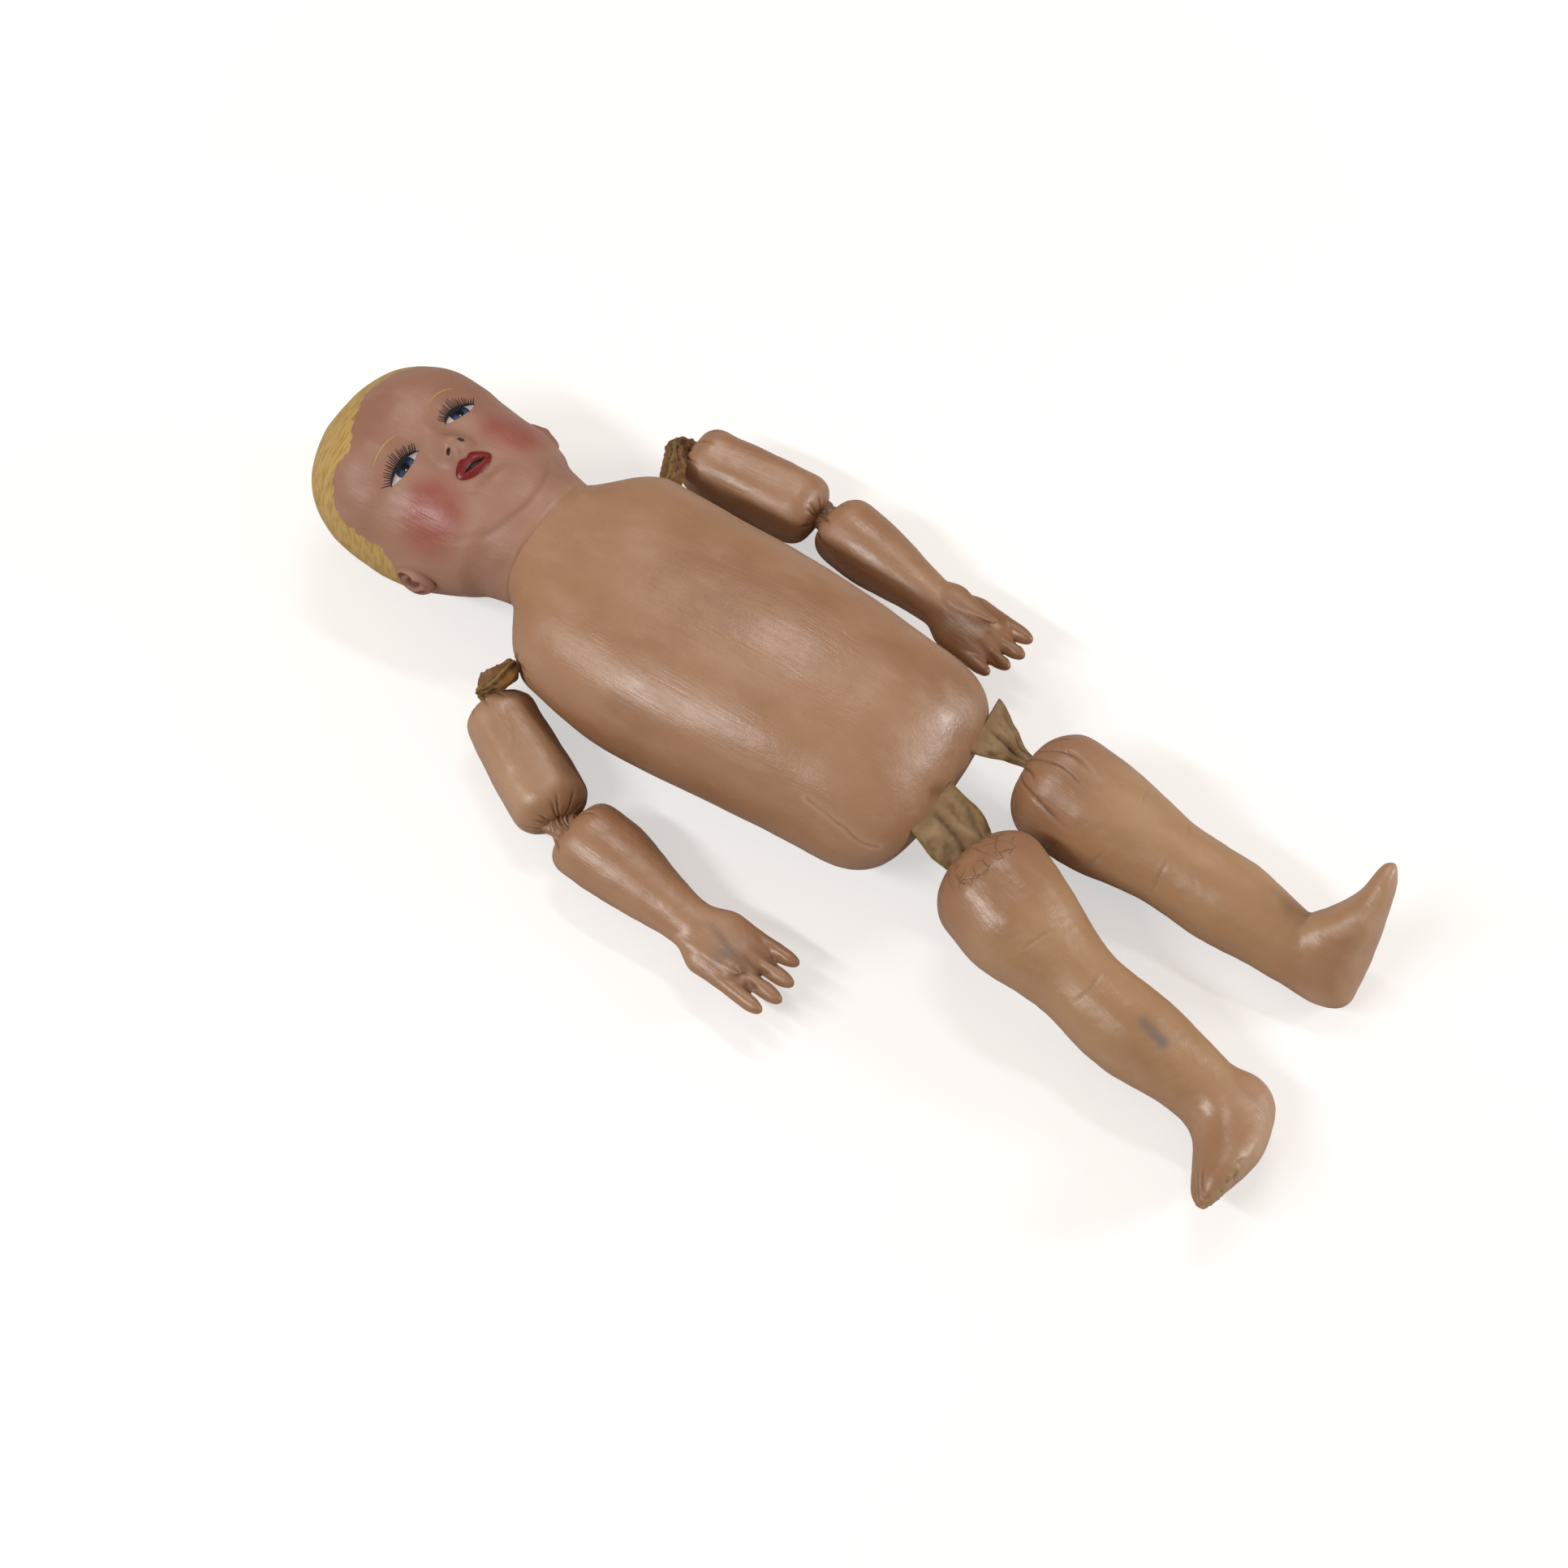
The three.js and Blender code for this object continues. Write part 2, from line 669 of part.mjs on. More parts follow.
// The strap leaves the torso square to it and meets the arm along the arm's own axis.
function addArm(doll, torso, name, side, rest) {
  const outward = new THREE.Vector3(side, 0, 0);
  const shoulder = new THREE.Vector3(0, NECK_SEAM_Y - SHOULDER_DROP, SHOULDER_JOINT_HEIGHT);
  const seat = seatOn(torso, shoulder.addScaledVector(outward, 2 * SHOULDER_WIDTH), outward.negate());
  const root = seat.point.addScaledVector(seat.normal, SHOULDER_STRAP_RADIUS + FIT);
  const strapFrame = frameOf(root, 0);
  const strap = groupAt(strapFrame);
  doll.add(strap);

  const form = upperArmForm();
  const start = SHOULDER_STRAP_RADIUS + FIT;
  const outer = formGeometry(form, ARM_FACETS).translate(0, -start, 0);
  const reach = new THREE.Vector3(side * rest.strapOut, rest.strapHeadward, -rest.strapDrop);
  const hinge = root.clone().add(reach);
  const armTurn = side * degToRad(rest.spread);
  const armPitch = restingPitch(outer, (pitch) => frameOf(hinge, armTurn, pitch));
  const armFrame = frameOf(hinge, armTurn, armPitch);
  const leaving = seat.normal.clone().multiplyScalar(STRAP_BEND_LENGTH);
  const arriving = pointIn(armFrame, 0, STRAP_BEND_LENGTH, 0).sub(root);
  const path = new THREE.CubicBezierCurve3(new THREE.Vector3(), leaving, arriving, reach);
  const tube = strapGeometry(path, SHOULDER_STRAP_RADIUS);
  addMesh(strap, `shoulder_strap_${name}`, tube, STRAP_CLOTH, CLOTH_ROUGHNESS);

  const arm = groupAt(armFrame, strapFrame);
  strap.add(arm);
  const cavity = toSolid(formGeometry(form, { grow: INNER, ...ARM_INSIDE }).translate(0, -start, 0));
  const mouth = gatherHole().translate([0, -start, 0]);
  const cover = toSolid(outer).subtract(cavity).subtract(mouth);
  const core = formGeometry(form, { grow: CORE, ...ARM_INSIDE }).translate(0, -start, 0);
  addMesh(arm, `upper_arm_cover_${name}`, pressedFlat(cover, armFrame), PAINTED_SKIN, PAINT_ROUGHNESS);
  addMesh(arm, `upper_arm_stuffing_${name}`, core, COTTON, COTTON_ROUGHNESS);

  const elbowStart = start + UPPER_ARM_LENGTH + FIT + ELBOW_STRAP_RADIUS;
  const strapTop = new THREE.Vector3(0, -elbowStart, 0);
  const strapEnd = new THREE.Vector3(0, -elbowStart - ELBOW_STRAP_LENGTH, 0);
  const elbowStrap = rodBetween(strapTop, strapEnd, ELBOW_STRAP_RADIUS);
  addMesh(arm, `elbow_strap_${name}`, elbowStrap, STRAP_CLOTH, CLOTH_ROUGHNESS);
  addForearm(arm, armFrame, strapEnd.applyMatrix4(armFrame), name, side, rest);
}

function addForearm(arm, armFrame, elbow, name, side, rest) {
  const form = forearmForm();
  const start = ELBOW_STRAP_RADIUS + FIT;
  const fingers = fingerGeometries(side);
  const whole = joined([formGeometry(form, FOREARM_FACETS), ...fingers]);
  const turn = side * degToRad(rest.forearmSpread);
  const shifted = toGeometry(whole).translate(0, -start, 0);
  const pitch = restingPitch(shifted, (angle) => frameOf(elbow, turn, angle));
  const frame = frameOf(elbow, turn, pitch);
  const forearm = groupAt(frame, armFrame);
  arm.add(forearm);
  const cavity = formGeometry(form, { grow: INNER, ...ARM_INSIDE });
  const hollow = whole.subtract(toSolid(cavity)).subtract(gatherHole());
  const cover = toSolid(toGeometry(hollow).translate(0, -start, 0));
  addMesh(forearm, `forearm_cover_${name}`, pressedFlat(cover, frame), PAINTED_SKIN, PAINT_ROUGHNESS);
  const core = formGeometry(form, { grow: CORE, ...ARM_INSIDE }).translate(0, -start, 0);
  addMesh(forearm, `forearm_stuffing_${name}`, core, COTTON, COTTON_ROUGHNESS);

  const clear = joined([formGeometry(form, { grow: FIT, ...FOREARM_FACETS }), ...fingers]);
  const thumb = fingerGeometry(THUMB_RADIUS, THUMB_TIP_RADIUS, THUMB_LENGTH);
  thumb.rotateZ(-side * degToRad(rest.thumbTurn));
  const thumbOut = PALM_WIDTH / 2 - THUMB_RADIUS;
  thumb.translate(side * thumbOut, -FOREARM_LENGTH - THUMB_RISE, PALM_DEPTH / 2);
  const applied = toGeometry(toSolid(thumb).subtract(clear)).translate(0, -start, 0);
  addMesh(forearm, `thumb_${name}`, applied, PAINTED_SKIN, PAINT_ROUGHNESS);
}

// A flat tab: straight edge at the torso, narrowing to a round end at the leg
function flapGeometry(endRadius) {
  const reach = HIP_FLAP_LENGTH - endRadius;
  const outline = new THREE.Shape();
  outline.moveTo(HIP_FLAP_WIDTH / 2, 0);
  outline.lineTo(-HIP_FLAP_WIDTH / 2, 0);
  outline.lineTo(-endRadius, -reach);
  outline.absarc(0, -reach, endRadius, Math.PI, 2 * Math.PI, false);
  const options = { depth: HIP_FLAP_THICKNESS, bevelEnabled: false, curveSegments: ROUND_SIDES };
  const tab = new THREE.ExtrudeGeometry(outline, options).translate(0, 0, -HIP_FLAP_THICKNESS / 2);
  const half = HIP_FLAP_THICKNESS / 2;
  const edge = new THREE.CylinderGeometry(half, half, HIP_FLAP_WIDTH, ROUND_SIDES).rotateZ(Math.PI / 2);
  return toGeometry(joined([tab, edge]));
}

function addLeg(doll, torso, name, side, hipOut, flapEndRadius, rest) {
  const below = new THREE.Vector3(side * hipOut, NECK_SEAM_Y - 2 * TORSO_LENGTH, HIP_JOINT_HEIGHT);
  const seat = seatOn(torso, below, new THREE.Vector3(0, 1, 0));
  const root = seat.point.addScaledVector(seat.normal, HIP_FLAP_THICKNESS / 2 + FIT);
  const flapTurn = Math.atan2(seat.normal.x, -seat.normal.y);
  const flapFrame = frameOf(root, flapTurn, degToRad(rest.flapDip));
  const flap = groupAt(flapFrame);
  doll.add(flap);
  addMesh(flap, `hip_flap_${name}`, flapGeometry(flapEndRadius), FLAP_CLOTH, CLOTH_ROUGHNESS);

  const form = legForm(rest.kneeBow);
  const start = flapEndRadius + FIT;
  const hinge = pointIn(flapFrame, 0, flapEndRadius - HIP_FLAP_LENGTH, 0);
  const foot = footGeometry(0, FOOT_FACETS, rest.footTilt);
  const whole = joined([formGeometry(form, LEG_FACETS), foot]);
  const outer = toGeometry(whole).translate(0, -start, 0);
  const turn = side * degToRad(rest.spread);
  const roll = side * degToRad(rest.roll);
  const pitch = restingPitch(outer, (angle) => frameOf(hinge, turn, angle, roll));
  const frame = frameOf(hinge, turn, pitch, roll);
  const leg = groupAt(frame, flapFrame);
  flap.add(leg);
  const inside = (grow) => joined([
    formGeometry(form, { grow, ...LEG_INSIDE }),
    footGeometry(grow, FOOT_INSIDE, rest.footTilt),
  ]);
  const cover = whole.subtract(inside(INNER)).subtract(gatherHole());
  const placed = toSolid(toGeometry(cover).translate(0, -start, 0));
  addMesh(leg, `leg_cover_${name}`, pressedFlat(placed, frame), PAINTED_SKIN, PAINT_ROUGHNESS);
  const core = toGeometry(inside(CORE)).translate(0, -start, 0);
  addMesh(leg, `leg_stuffing_${name}`, core, COTTON, COTTON_ROUGHNESS);
}

const doll = new THREE.Group();
const torso = addTorso(doll);
addHead(doll);
addArm(doll, torso, 'left', 1, LEFT_ARM_REST);
addArm(doll, torso, 'right', -1, RIGHT_ARM_REST);
addLeg(doll, torso, 'left', 1, LEFT_HIP_OUT, LEFT_FLAP_END_RADIUS, LEFT_LEG_REST);
addLeg(doll, torso, 'right', -1, RIGHT_HIP_OUT, RIGHT_FLAP_END_RADIUS, RIGHT_LEG_REST);

export default doll;
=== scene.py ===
"""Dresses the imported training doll: painted cloth skins, a painted face, cloth straps and a plain stage.

Forms are worked out in millimetres, in the part's own frame: +Y runs to the crown, +X to the doll's
left hand and +Z up from the surface it lies on. Meshes are in metres.
"""

import json
import math
from dataclasses import dataclass
from typing import Callable

import bpy
import numpy as np
from bpy.props import FloatProperty, FloatVectorProperty, PointerProperty
from mathutils import Matrix, Vector
from mathutils.bvhtree import BVHTree


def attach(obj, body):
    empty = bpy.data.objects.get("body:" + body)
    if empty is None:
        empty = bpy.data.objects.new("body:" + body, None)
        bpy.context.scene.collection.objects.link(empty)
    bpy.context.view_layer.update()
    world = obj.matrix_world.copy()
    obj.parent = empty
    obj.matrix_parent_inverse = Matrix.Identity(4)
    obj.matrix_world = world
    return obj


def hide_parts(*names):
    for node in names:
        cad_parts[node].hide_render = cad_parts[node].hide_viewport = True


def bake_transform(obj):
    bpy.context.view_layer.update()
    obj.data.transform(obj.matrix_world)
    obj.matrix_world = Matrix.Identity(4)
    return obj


bl_info = {
    "name": "Training Doll",
    "version": (1, 0, 0),
    "blender": (4, 5, 0),
    "location": "3D View > Sidebar > Doll",
    "description": "Makes the painted skins, face, straps and stage of a stuffed training doll",
    "category": "Object",
}

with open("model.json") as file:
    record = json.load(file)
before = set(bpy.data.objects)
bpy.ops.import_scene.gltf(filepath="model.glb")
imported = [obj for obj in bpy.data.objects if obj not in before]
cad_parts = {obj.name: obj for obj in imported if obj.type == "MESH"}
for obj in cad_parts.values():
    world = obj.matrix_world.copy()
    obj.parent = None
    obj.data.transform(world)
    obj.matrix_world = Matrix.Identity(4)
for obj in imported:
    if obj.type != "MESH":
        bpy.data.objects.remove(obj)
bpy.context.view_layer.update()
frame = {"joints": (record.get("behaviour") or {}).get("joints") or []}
JOINTS = {joint["name"]: joint for joint in frame["joints"]}

MM = 0.001
SIDES = {"left": 1, "right": -1}

# The part's own driving sizes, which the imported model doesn't carry
FLOOR_FLAT = 0.5
SKIN = 1.8
FIT = 0.3
NECK_SEAM_Y = 127
TORSO_LENGTH = 258
SHOULDER_DROP = 30
CHEST_DROP = 95
BELLY_DROP = 165
HIP_DROP = 222
NECK_WIDTH, NECK_DEPTH, NECK_LIFT = 72, 62, 15
NECK_TOP = NECK_LIFT + NECK_DEPTH
SHOULDER_WIDTH, SHOULDER_DEPTH, SHOULDER_LIFT = 141, 82, 4
CHEST_WIDTH, CHEST_DEPTH = 148, 94
BELLY_WIDTH, BELLY_DEPTH = 138, 99
HIP_WIDTH, HIP_DEPTH = 130, 88
SEAT_ROUND = 52
BELLY_SHIFT = -5
HEAD_LENGTH, NECK_LENGTH, HEAD_SHIFT = 137, 14, 4
CHIN_RISE, MOUTH_RISE, NOSE_RISE, EYE_RISE, TEMPLE_RISE = 25, 46, 62, 74, 86
JAW_WIDTH, CHEEK_WIDTH, TEMPLE_WIDTH = 92, 112, 120
CHIN_HEIGHT, MOUTH_HEIGHT, EYE_HEIGHT, FOREHEAD_HEIGHT = 85, 86, 86, 101
CROWN_ROUND = 62
EAR_RISE, EAR_HEIGHT, EAR_LENGTH, EAR_DEPTH, EAR_STAND = 47, 46, 25, 15, 9
SHOULDER_STRAP_RADIUS = 5.5
STRAP_BEND_LENGTH = 9
UPPER_ARM_LENGTH, UPPER_ARM_RADIUS, UPPER_ARM_TOP_RADIUS = 82, 19.6, 18.4
ARM_END_ROUND = 14
ELBOW_STRAP_RADIUS = 2.8
FOREARM_LENGTH, FOREARM_RADIUS, FOREARM_SWELL = 84, 19.4, 24
WRIST_WIDTH, WRIST_DEPTH = 26, 22
PALM_WIDTH, PALM_DEPTH, PALM_LENGTH = 38, 16, 33
KNUCKLE_DROP = FOREARM_LENGTH + PALM_LENGTH
FINGER_RADIUS, FINGER_TIP_RADIUS, FINGER_STEP, FINGER_FAN = 5, 4, 9.2, 2
FINGER_LENGTHS = (20, 24, 23, 18)
THUMB_TIP_RADIUS = 3.8
HIP_FLAP_WIDTH, HIP_FLAP_LENGTH = 35, 29
LEG_LENGTH = 200
THIGH_RADIUS, THIGH_DROP = 28, 34
KNEE_RADIUS, KNEE_DROP = 21.8, 88
CALF_RADIUS, CALF_DROP = 23.4, 119
ANKLE_RADIUS, ANKLE_DROP = 16.8, 171
LEG_END_ROUND = 22
FOOT_LENGTH, HEEL_BACK, HEEL_WIDTH, HEEL_HEIGHT = 76, 21, 31, 33
INSTEP_HEIGHT, INSTEP_REACH = 36, 27
BALL_WIDTH, BALL_HEIGHT, BALL_REACH = 36, 22, 54
TOE_WIDTH, TOE_HEIGHT = 29, 11
FOOT_END_ROUND = 13


@dataclass(frozen=True)
class Arm:
    """How an arm lies, in degrees, and how much fuller it is stuffed than its pattern, in millimetres.

    Spreads are away from the midline, and the square is the power that blunts the elbow.
    """

    spread: float
    forearm_spread: float
    forearm_turn: float
    upper: float
    upper_lean: float
    elbow_square: float
    forearm: float
    forearm_lean: float
    finger: float


@dataclass(frozen=True)
class Leg:
    """How a leg lies, in degrees, and how it is stuffed and folded beyond its pattern, in millimetres.

    The depth of the pleats is a share.
    """

    spread: float
    roll: float
    foot_tilt: float
    toe_drop: float
    knee_bow: float
    flap_end_radius: float
    thigh_above: float
    thigh_below: float
    knee_above: float
    heel: float
    sole_belly: float
    instep: float
    toe_width: float
    toe_reach: float
    pleats: int
    pleat_reach: float
    pleat_depth: float
    crease_depth: float


ARMS = {
    "left": Arm(
        spread=4, forearm_spread=-9, forearm_turn=-3, upper=2, upper_lean=-2,
        elbow_square=2.8, forearm=0.5, forearm_lean=0, finger=0,
    ),
    "right": Arm(
        spread=28, forearm_spread=6, forearm_turn=0, upper=1.5, upper_lean=0,
        elbow_square=2.2, forearm=2.5, forearm_lean=3, finger=7,
    ),
}
LEGS = {
    "left": Leg(
        spread=-3, roll=42, foot_tilt=12, toe_drop=0, knee_bow=-2, flap_end_radius=7,
        thigh_above=1, thigh_below=6, knee_above=3, heel=4, sole_belly=1, instep=10, toe_width=19, toe_reach=8,
        pleats=17, pleat_reach=34, pleat_depth=1, crease_depth=0.28,
    ),
    "right": Leg(
        spread=15, roll=72, foot_tilt=-5, toe_drop=7, knee_bow=9, flap_end_radius=13,
        thigh_above=10, thigh_below=0, knee_above=0, heel=4, sole_belly=6, instep=0, toe_width=13, toe_reach=2,
        pleats=13, pleat_reach=20, pleat_depth=0.4, crease_depth=0.4,
    ),
}

# Creases in the skin of the legs, as degrees round and millimetres down
LEG_CREASES = {
    "left": (
        ((125, 61), (95, 58)), ((115, 89), (92, 85)),
        ((220, 55), (185, 60)), ((210, 90), (160, 88)),
    ),
    "right": (((55, 59), (12, 62)), ((62, 94), (38, 95), (5, 92))),
}


@dataclass(frozen=True)
class ThumbSeat:
    """Where a dressed thumb starts on its palm, in millimetres, and how it turns inwards, in degrees.

    The painted shade over its hand, and the soiling and painted shade along its edge, are shares.
    """

    out: float
    drop: float
    lift: float
    turn: float
    base: float
    length: float
    shade: float
    dirt_and_shade: float


THUMBS = {
    "left": ThumbSeat(out=4, drop=72, lift=6.5, turn=-4, base=12.5, length=48, shade=0.9, dirt_and_shade=0.75),
    "right": ThumbSeat(out=8, drop=76, lift=3, turn=0, base=10.5, length=50, shade=0.45, dirt_and_shade=0.35),
}

# Camera of the photograph
CAMERA_AZIMUTH = -56.5
CAMERA_ELEVATION = 60.5
CAMERA_DISTANCE = 1296
CAMERA_FIELD = 35.697
CAMERA_TARGET = (-27, -44.7, 0)
SENSOR_WIDTH = 36


# Curves and noise


def smooth_through(*points):
    """Smooth curve through pairs of place and value, without overshoot."""
    places, values = np.array(points, float).T
    steps = np.diff(values) / np.diff(places)
    slopes = np.zeros(len(places))
    for i, (before, after) in enumerate(zip(steps, steps[1:]), start=1):
        if before * after > 0:
            slopes[i] = 2 * before * after / (before + after)

    def curve(at):
        at = np.clip(at, places[0], places[-1])
        i = np.clip(np.searchsorted(places, at) - 1, 0, len(places) - 2)
        span = places[i + 1] - places[i]
        t = (at - places[i]) / span
        ease = t * t * (3 - 2 * t)
        bend = t * (1 - t) * (slopes[i] * (1 - t) - slopes[i + 1] * t)
        return values[i] * (1 - ease) + values[i + 1] * ease + span * bend

    return curve


def eased(curve, reach):
    """The curve averaged over a reach to both sides, which rounds off its turns."""
    steps = reach * np.linspace(-1, 1, 11)
    return lambda at: np.mean([curve(at + step) for step in steps], axis=0)


def level(value):
    """A curve that has one value everywhere."""
    return lambda at: np.full(np.shape(at), float(value))


def bump(distance, half_width):
    return np.exp(-((distance / half_width) ** 2))


def smooth_step(value, low, high):
    t = np.clip((value - low) / (high - low), 0, 1)
    return t * t * (3 - 2 * t)


def lengths(vectors):
    return np.linalg.norm(vectors, axis=1)


def unit(vectors):
    """Vectors in the same directions, all of length 1."""
    return vectors / np.maximum(lengths(vectors), 1e-9)[:, None]


def lumps(points, size, seed, waves=16):
    """Soft random unevenness of about one size, from -1 to 1."""
    rng = np.random.default_rng(seed)
    directions = unit(rng.normal(size=(waves, 3)))
    spans = size * rng.uniform(0.6, 1.6, waves)
    phases = rng.uniform(0, 2 * np.pi, waves)
    turns = points @ (directions * (2 * np.pi / spans)[:, None]).T + phases
    return np.sin(turns).sum(1) / math.sqrt(2 * waves)


def smooth_line(spots, steps=10):
    """Places along a smooth line through pairs of numbers."""
    given = np.arange(len(spots))
    fine = np.linspace(0, len(spots) - 1, steps * (len(spots) - 1) + 1)
    return [smooth_through(*zip(given, values))(fine) for values in zip(*spots)]


def distance_to(points, path):
    """Distance of each point from a path of straight pieces."""
    nearest = np.full(len(points), np.inf)
    for a, b in zip(path, path[1:]):
        along = b - a
        t = np.clip((points - a) @ along / max(along @ along, 1e-9), 0, 1)
        nearest = np.minimum(nearest, lengths(points - a - t[:, None] * along))
    return nearest


def crease(points, path, width):
    """A sewn or folded line: -1 along the path, with low lips beside it."""
    away = distance_to(points, path)
    return 0.35 * bump(away - 1.9 * width, width) - bump(away, width)


# Frames


def ring_angles(sides):
    """Angles of evenly spaced points round a ring."""
    return 2 * np.pi * np.arange(sides) / sides


def turned(axis, degrees):
    return np.array(Matrix.Rotation(math.radians(degrees), 4, axis), float)


def moved(x, y, z):
    return np.array(Matrix.Translation((x, y, z)), float)


def frame_at(position, turn, pitch, roll=0.0):
    """Turned about Z, then pitched about X, then rolled about the form's own axis."""
    return moved(*position) @ turned("Z", turn) @ turned("X", pitch) @ turned("Y", roll)


def placed(points, matrix):
    return points @ matrix[:3, :3].T + matrix[:3, 3]


def joint_place(name):
    return np.array(JOINTS[name]["pos_m"], float) / MM


def resting_pitch(points, frame_of_pitch):
    """The pitch at which a limb that falls about its root comes to lie on the floor."""
    raised, fallen = -90.0, 90.0
    for _ in range(40):
        pitch = (raised + fallen) / 2
        if placed(points, frame_of_pitch(pitch))[:, 2].min() > -FLOOR_FLAT:
            raised = pitch
        else:
            fallen = pitch
    return raised


# Stuffed forms


def opened_at(from_tip, rounding, power):
    """How far a rounded end has opened: 0 at its tip and 1 where the full section starts."""
    if rounding == 0:
        return np.ones(np.shape(from_tip))
    left = 1 - np.clip(from_tip / rounding, 0, 1)
    return (1 - left**power) ** (1 / power)


@dataclass
class Form:
    """A stuffed form: oval sections along Y, as curves of the distance from its start."""

    length: float
    half_width: Callable
    low: Callable
    high: Callable
    heading: int = -1
    start_round: float = 0
    end_round: float = 0
    end_power: float = 2
    square: float = 2
    gather: float = 5
    lean: Callable = level(0)

    def section(self, at):
        """Middle height, half width and half depth of a section."""
        low, high = self.low(at), self.high(at)

        def grown(size, power):
            start = opened_at(at, self.start_round, power)
            end = opened_at(self.length - at, self.end_round, power)
            return self.gather + (size - self.gather) * start * end

        half_width = grown(self.half_width(at), self.end_power)
        return (low + high) / 2, half_width, grown((high - low) / 2, 2)

    def points(self, at, angle, grow=0.0):
        middle, half_width, half_depth = self.section(at)
        across = np.sign(np.cos(angle)) * np.abs(np.cos(angle)) ** (2 / self.square)
        upward = np.sign(np.sin(angle)) * np.abs(np.sin(angle)) ** (2 / self.square)
        x = across * (half_width + grow) + self.lean(at)
        z = middle + upward * (half_depth + grow)
        return np.stack([x, self.heading * at + 0 * x, z], axis=-1)

    def grid(self, rings, sides, grow=0.0, crowd=0.75, front_crowd=0.0):
        """Points of the surface, ring by ring; crowding puts more of them at the ends or front."""
        even = np.linspace(0, 1, rings + 1)
        at = self.length * (even - crowd * np.sin(2 * np.pi * even) / (2 * np.pi))
        turn = ring_angles(sides) - np.pi / 2
        angle = turn + front_crowd * np.cos(turn)
        return self.points(at[:, None], angle[None, :], grow)

    def spots(self, points):
        """Distance from the start and angle round the form of points near its surface."""
        at = np.clip(self.heading * points[:, 1], 0, self.length)
        middle = (self.low(at) + self.high(at)) / 2
        return at, np.arctan2(points[:, 2] - middle, points[:, 0] - self.lean(at))

    def path(self, *spots, steps=8):
        """A line on the surface through pairs of degrees round and millimetres down."""
        turns, drops = np.array(spots, float).T
        fine = np.linspace(0, len(spots) - 1, steps * (len(spots) - 1) + 1)
        given = np.arange(len(spots))
        angle = np.radians(np.interp(fine, given, turns))
        return self.points(np.interp(fine, given, drops), angle)


def torso_form():
    return Form(
        length=TORSO_LENGTH,
        end_round=SEAT_ROUND,
        end_power=3.6,
        square=2.3,
        lean=smooth_through((0, HEAD_SHIFT), (CHEST_DROP, BELLY_SHIFT), (TORSO_LENGTH, BELLY_SHIFT)),
        half_width=smooth_through(
            (0, NECK_WIDTH / 2), (SHOULDER_DROP, SHOULDER_WIDTH / 2), (CHEST_DROP, CHEST_WIDTH / 2),
            (BELLY_DROP, BELLY_WIDTH / 2), (HIP_DROP, HIP_WIDTH / 2), (TORSO_LENGTH, HIP_WIDTH / 2),
        ),
        low=smooth_through(
            (0, NECK_LIFT), (SHOULDER_DROP, SHOULDER_LIFT),
            (CHEST_DROP, -FLOOR_FLAT), (TORSO_LENGTH, -FLOOR_FLAT),
        ),
        high=smooth_through(
            (0, NECK_TOP), (SHOULDER_DROP, SHOULDER_LIFT + SHOULDER_DEPTH), (CHEST_DROP, CHEST_DEPTH),
            (BELLY_DROP, BELLY_DEPTH), (HIP_DROP, HIP_DEPTH), (TORSO_LENGTH, HIP_DEPTH),
        ),
    )


def head_half_width(seam=0, neck=0, jaw=0):
    """Half widths of the head, with what its stuffing adds at the seam, neck and jaw."""
    return smooth_through(
        (0, NECK_WIDTH / 2 + seam), (NECK_LENGTH, NECK_WIDTH / 2 + neck), (CHIN_RISE, JAW_WIDTH / 2 + jaw),
        (EAR_RISE, CHEEK_WIDTH / 2), (TEMPLE_RISE, TEMPLE_WIDTH / 2), (HEAD_LENGTH, TEMPLE_WIDTH / 2),
    )


def head_form():
    return Form(
        length=HEAD_LENGTH,
        heading=1,
        end_round=CROWN_ROUND,
        end_power=2.4,
        square=2.15,
        gather=1,
        half_width=head_half_width(),
        low=smooth_through(
            (0, NECK_LIFT), (NECK_LENGTH, NECK_LIFT), (EYE_RISE, -FLOOR_FLAT), (HEAD_LENGTH, -FLOOR_FLAT)
        ),
        high=smooth_through(
            (0, NECK_TOP), (NECK_LENGTH, NECK_TOP), (CHIN_RISE, CHIN_HEIGHT), (MOUTH_RISE, MOUTH_HEIGHT),
            (EYE_RISE, EYE_HEIGHT), (TEMPLE_RISE + NECK_LENGTH, FOREHEAD_HEIGHT),
            (HEAD_LENGTH, FOREHEAD_HEIGHT),
        ),
    )


# What the stuffing adds to the pattern of the head
CROWN_FILL, THROAT_FILL = 5, 5
SEAM_FILL, NECK_FILL, JAW_FILL = 2, 5.5, 3


def dressed_head_form():
    """The head with a fuller neck, jaw and crown."""
    form = head_form()
    form.length += CROWN_FILL
    form.half_width = head_half_width(SEAM_FILL, NECK_FILL, JAW_FILL)
    form.high = smooth_through(
        (0, NECK_TOP), (NECK_LENGTH, NECK_TOP + THROAT_FILL), (CHIN_RISE, CHIN_HEIGHT),
        (MOUTH_RISE, MOUTH_HEIGHT), (NOSE_RISE, EYE_HEIGHT + 1), (EYE_RISE, EYE_HEIGHT + 3),
        (TEMPLE_RISE, FOREHEAD_HEIGHT - 6.5), (TEMPLE_RISE + NECK_LENGTH, FOREHEAD_HEIGHT - 1),
        (TEMPLE_RISE + 2 * NECK_LENGTH, FOREHEAD_HEIGHT + 0.5), (HEAD_LENGTH, FOREHEAD_HEIGHT + 0.5),
    )
    return form


def limb_form(length, start_round, end_round, half_width, half_depth=None, **settings):
    depth = half_depth or half_width
    return Form(
        length=length,
        start_round=start_round,
        end_round=end_round,
        half_width=half_width,
        low=lambda at: -depth(at),
        high=depth,
        **settings,
    )


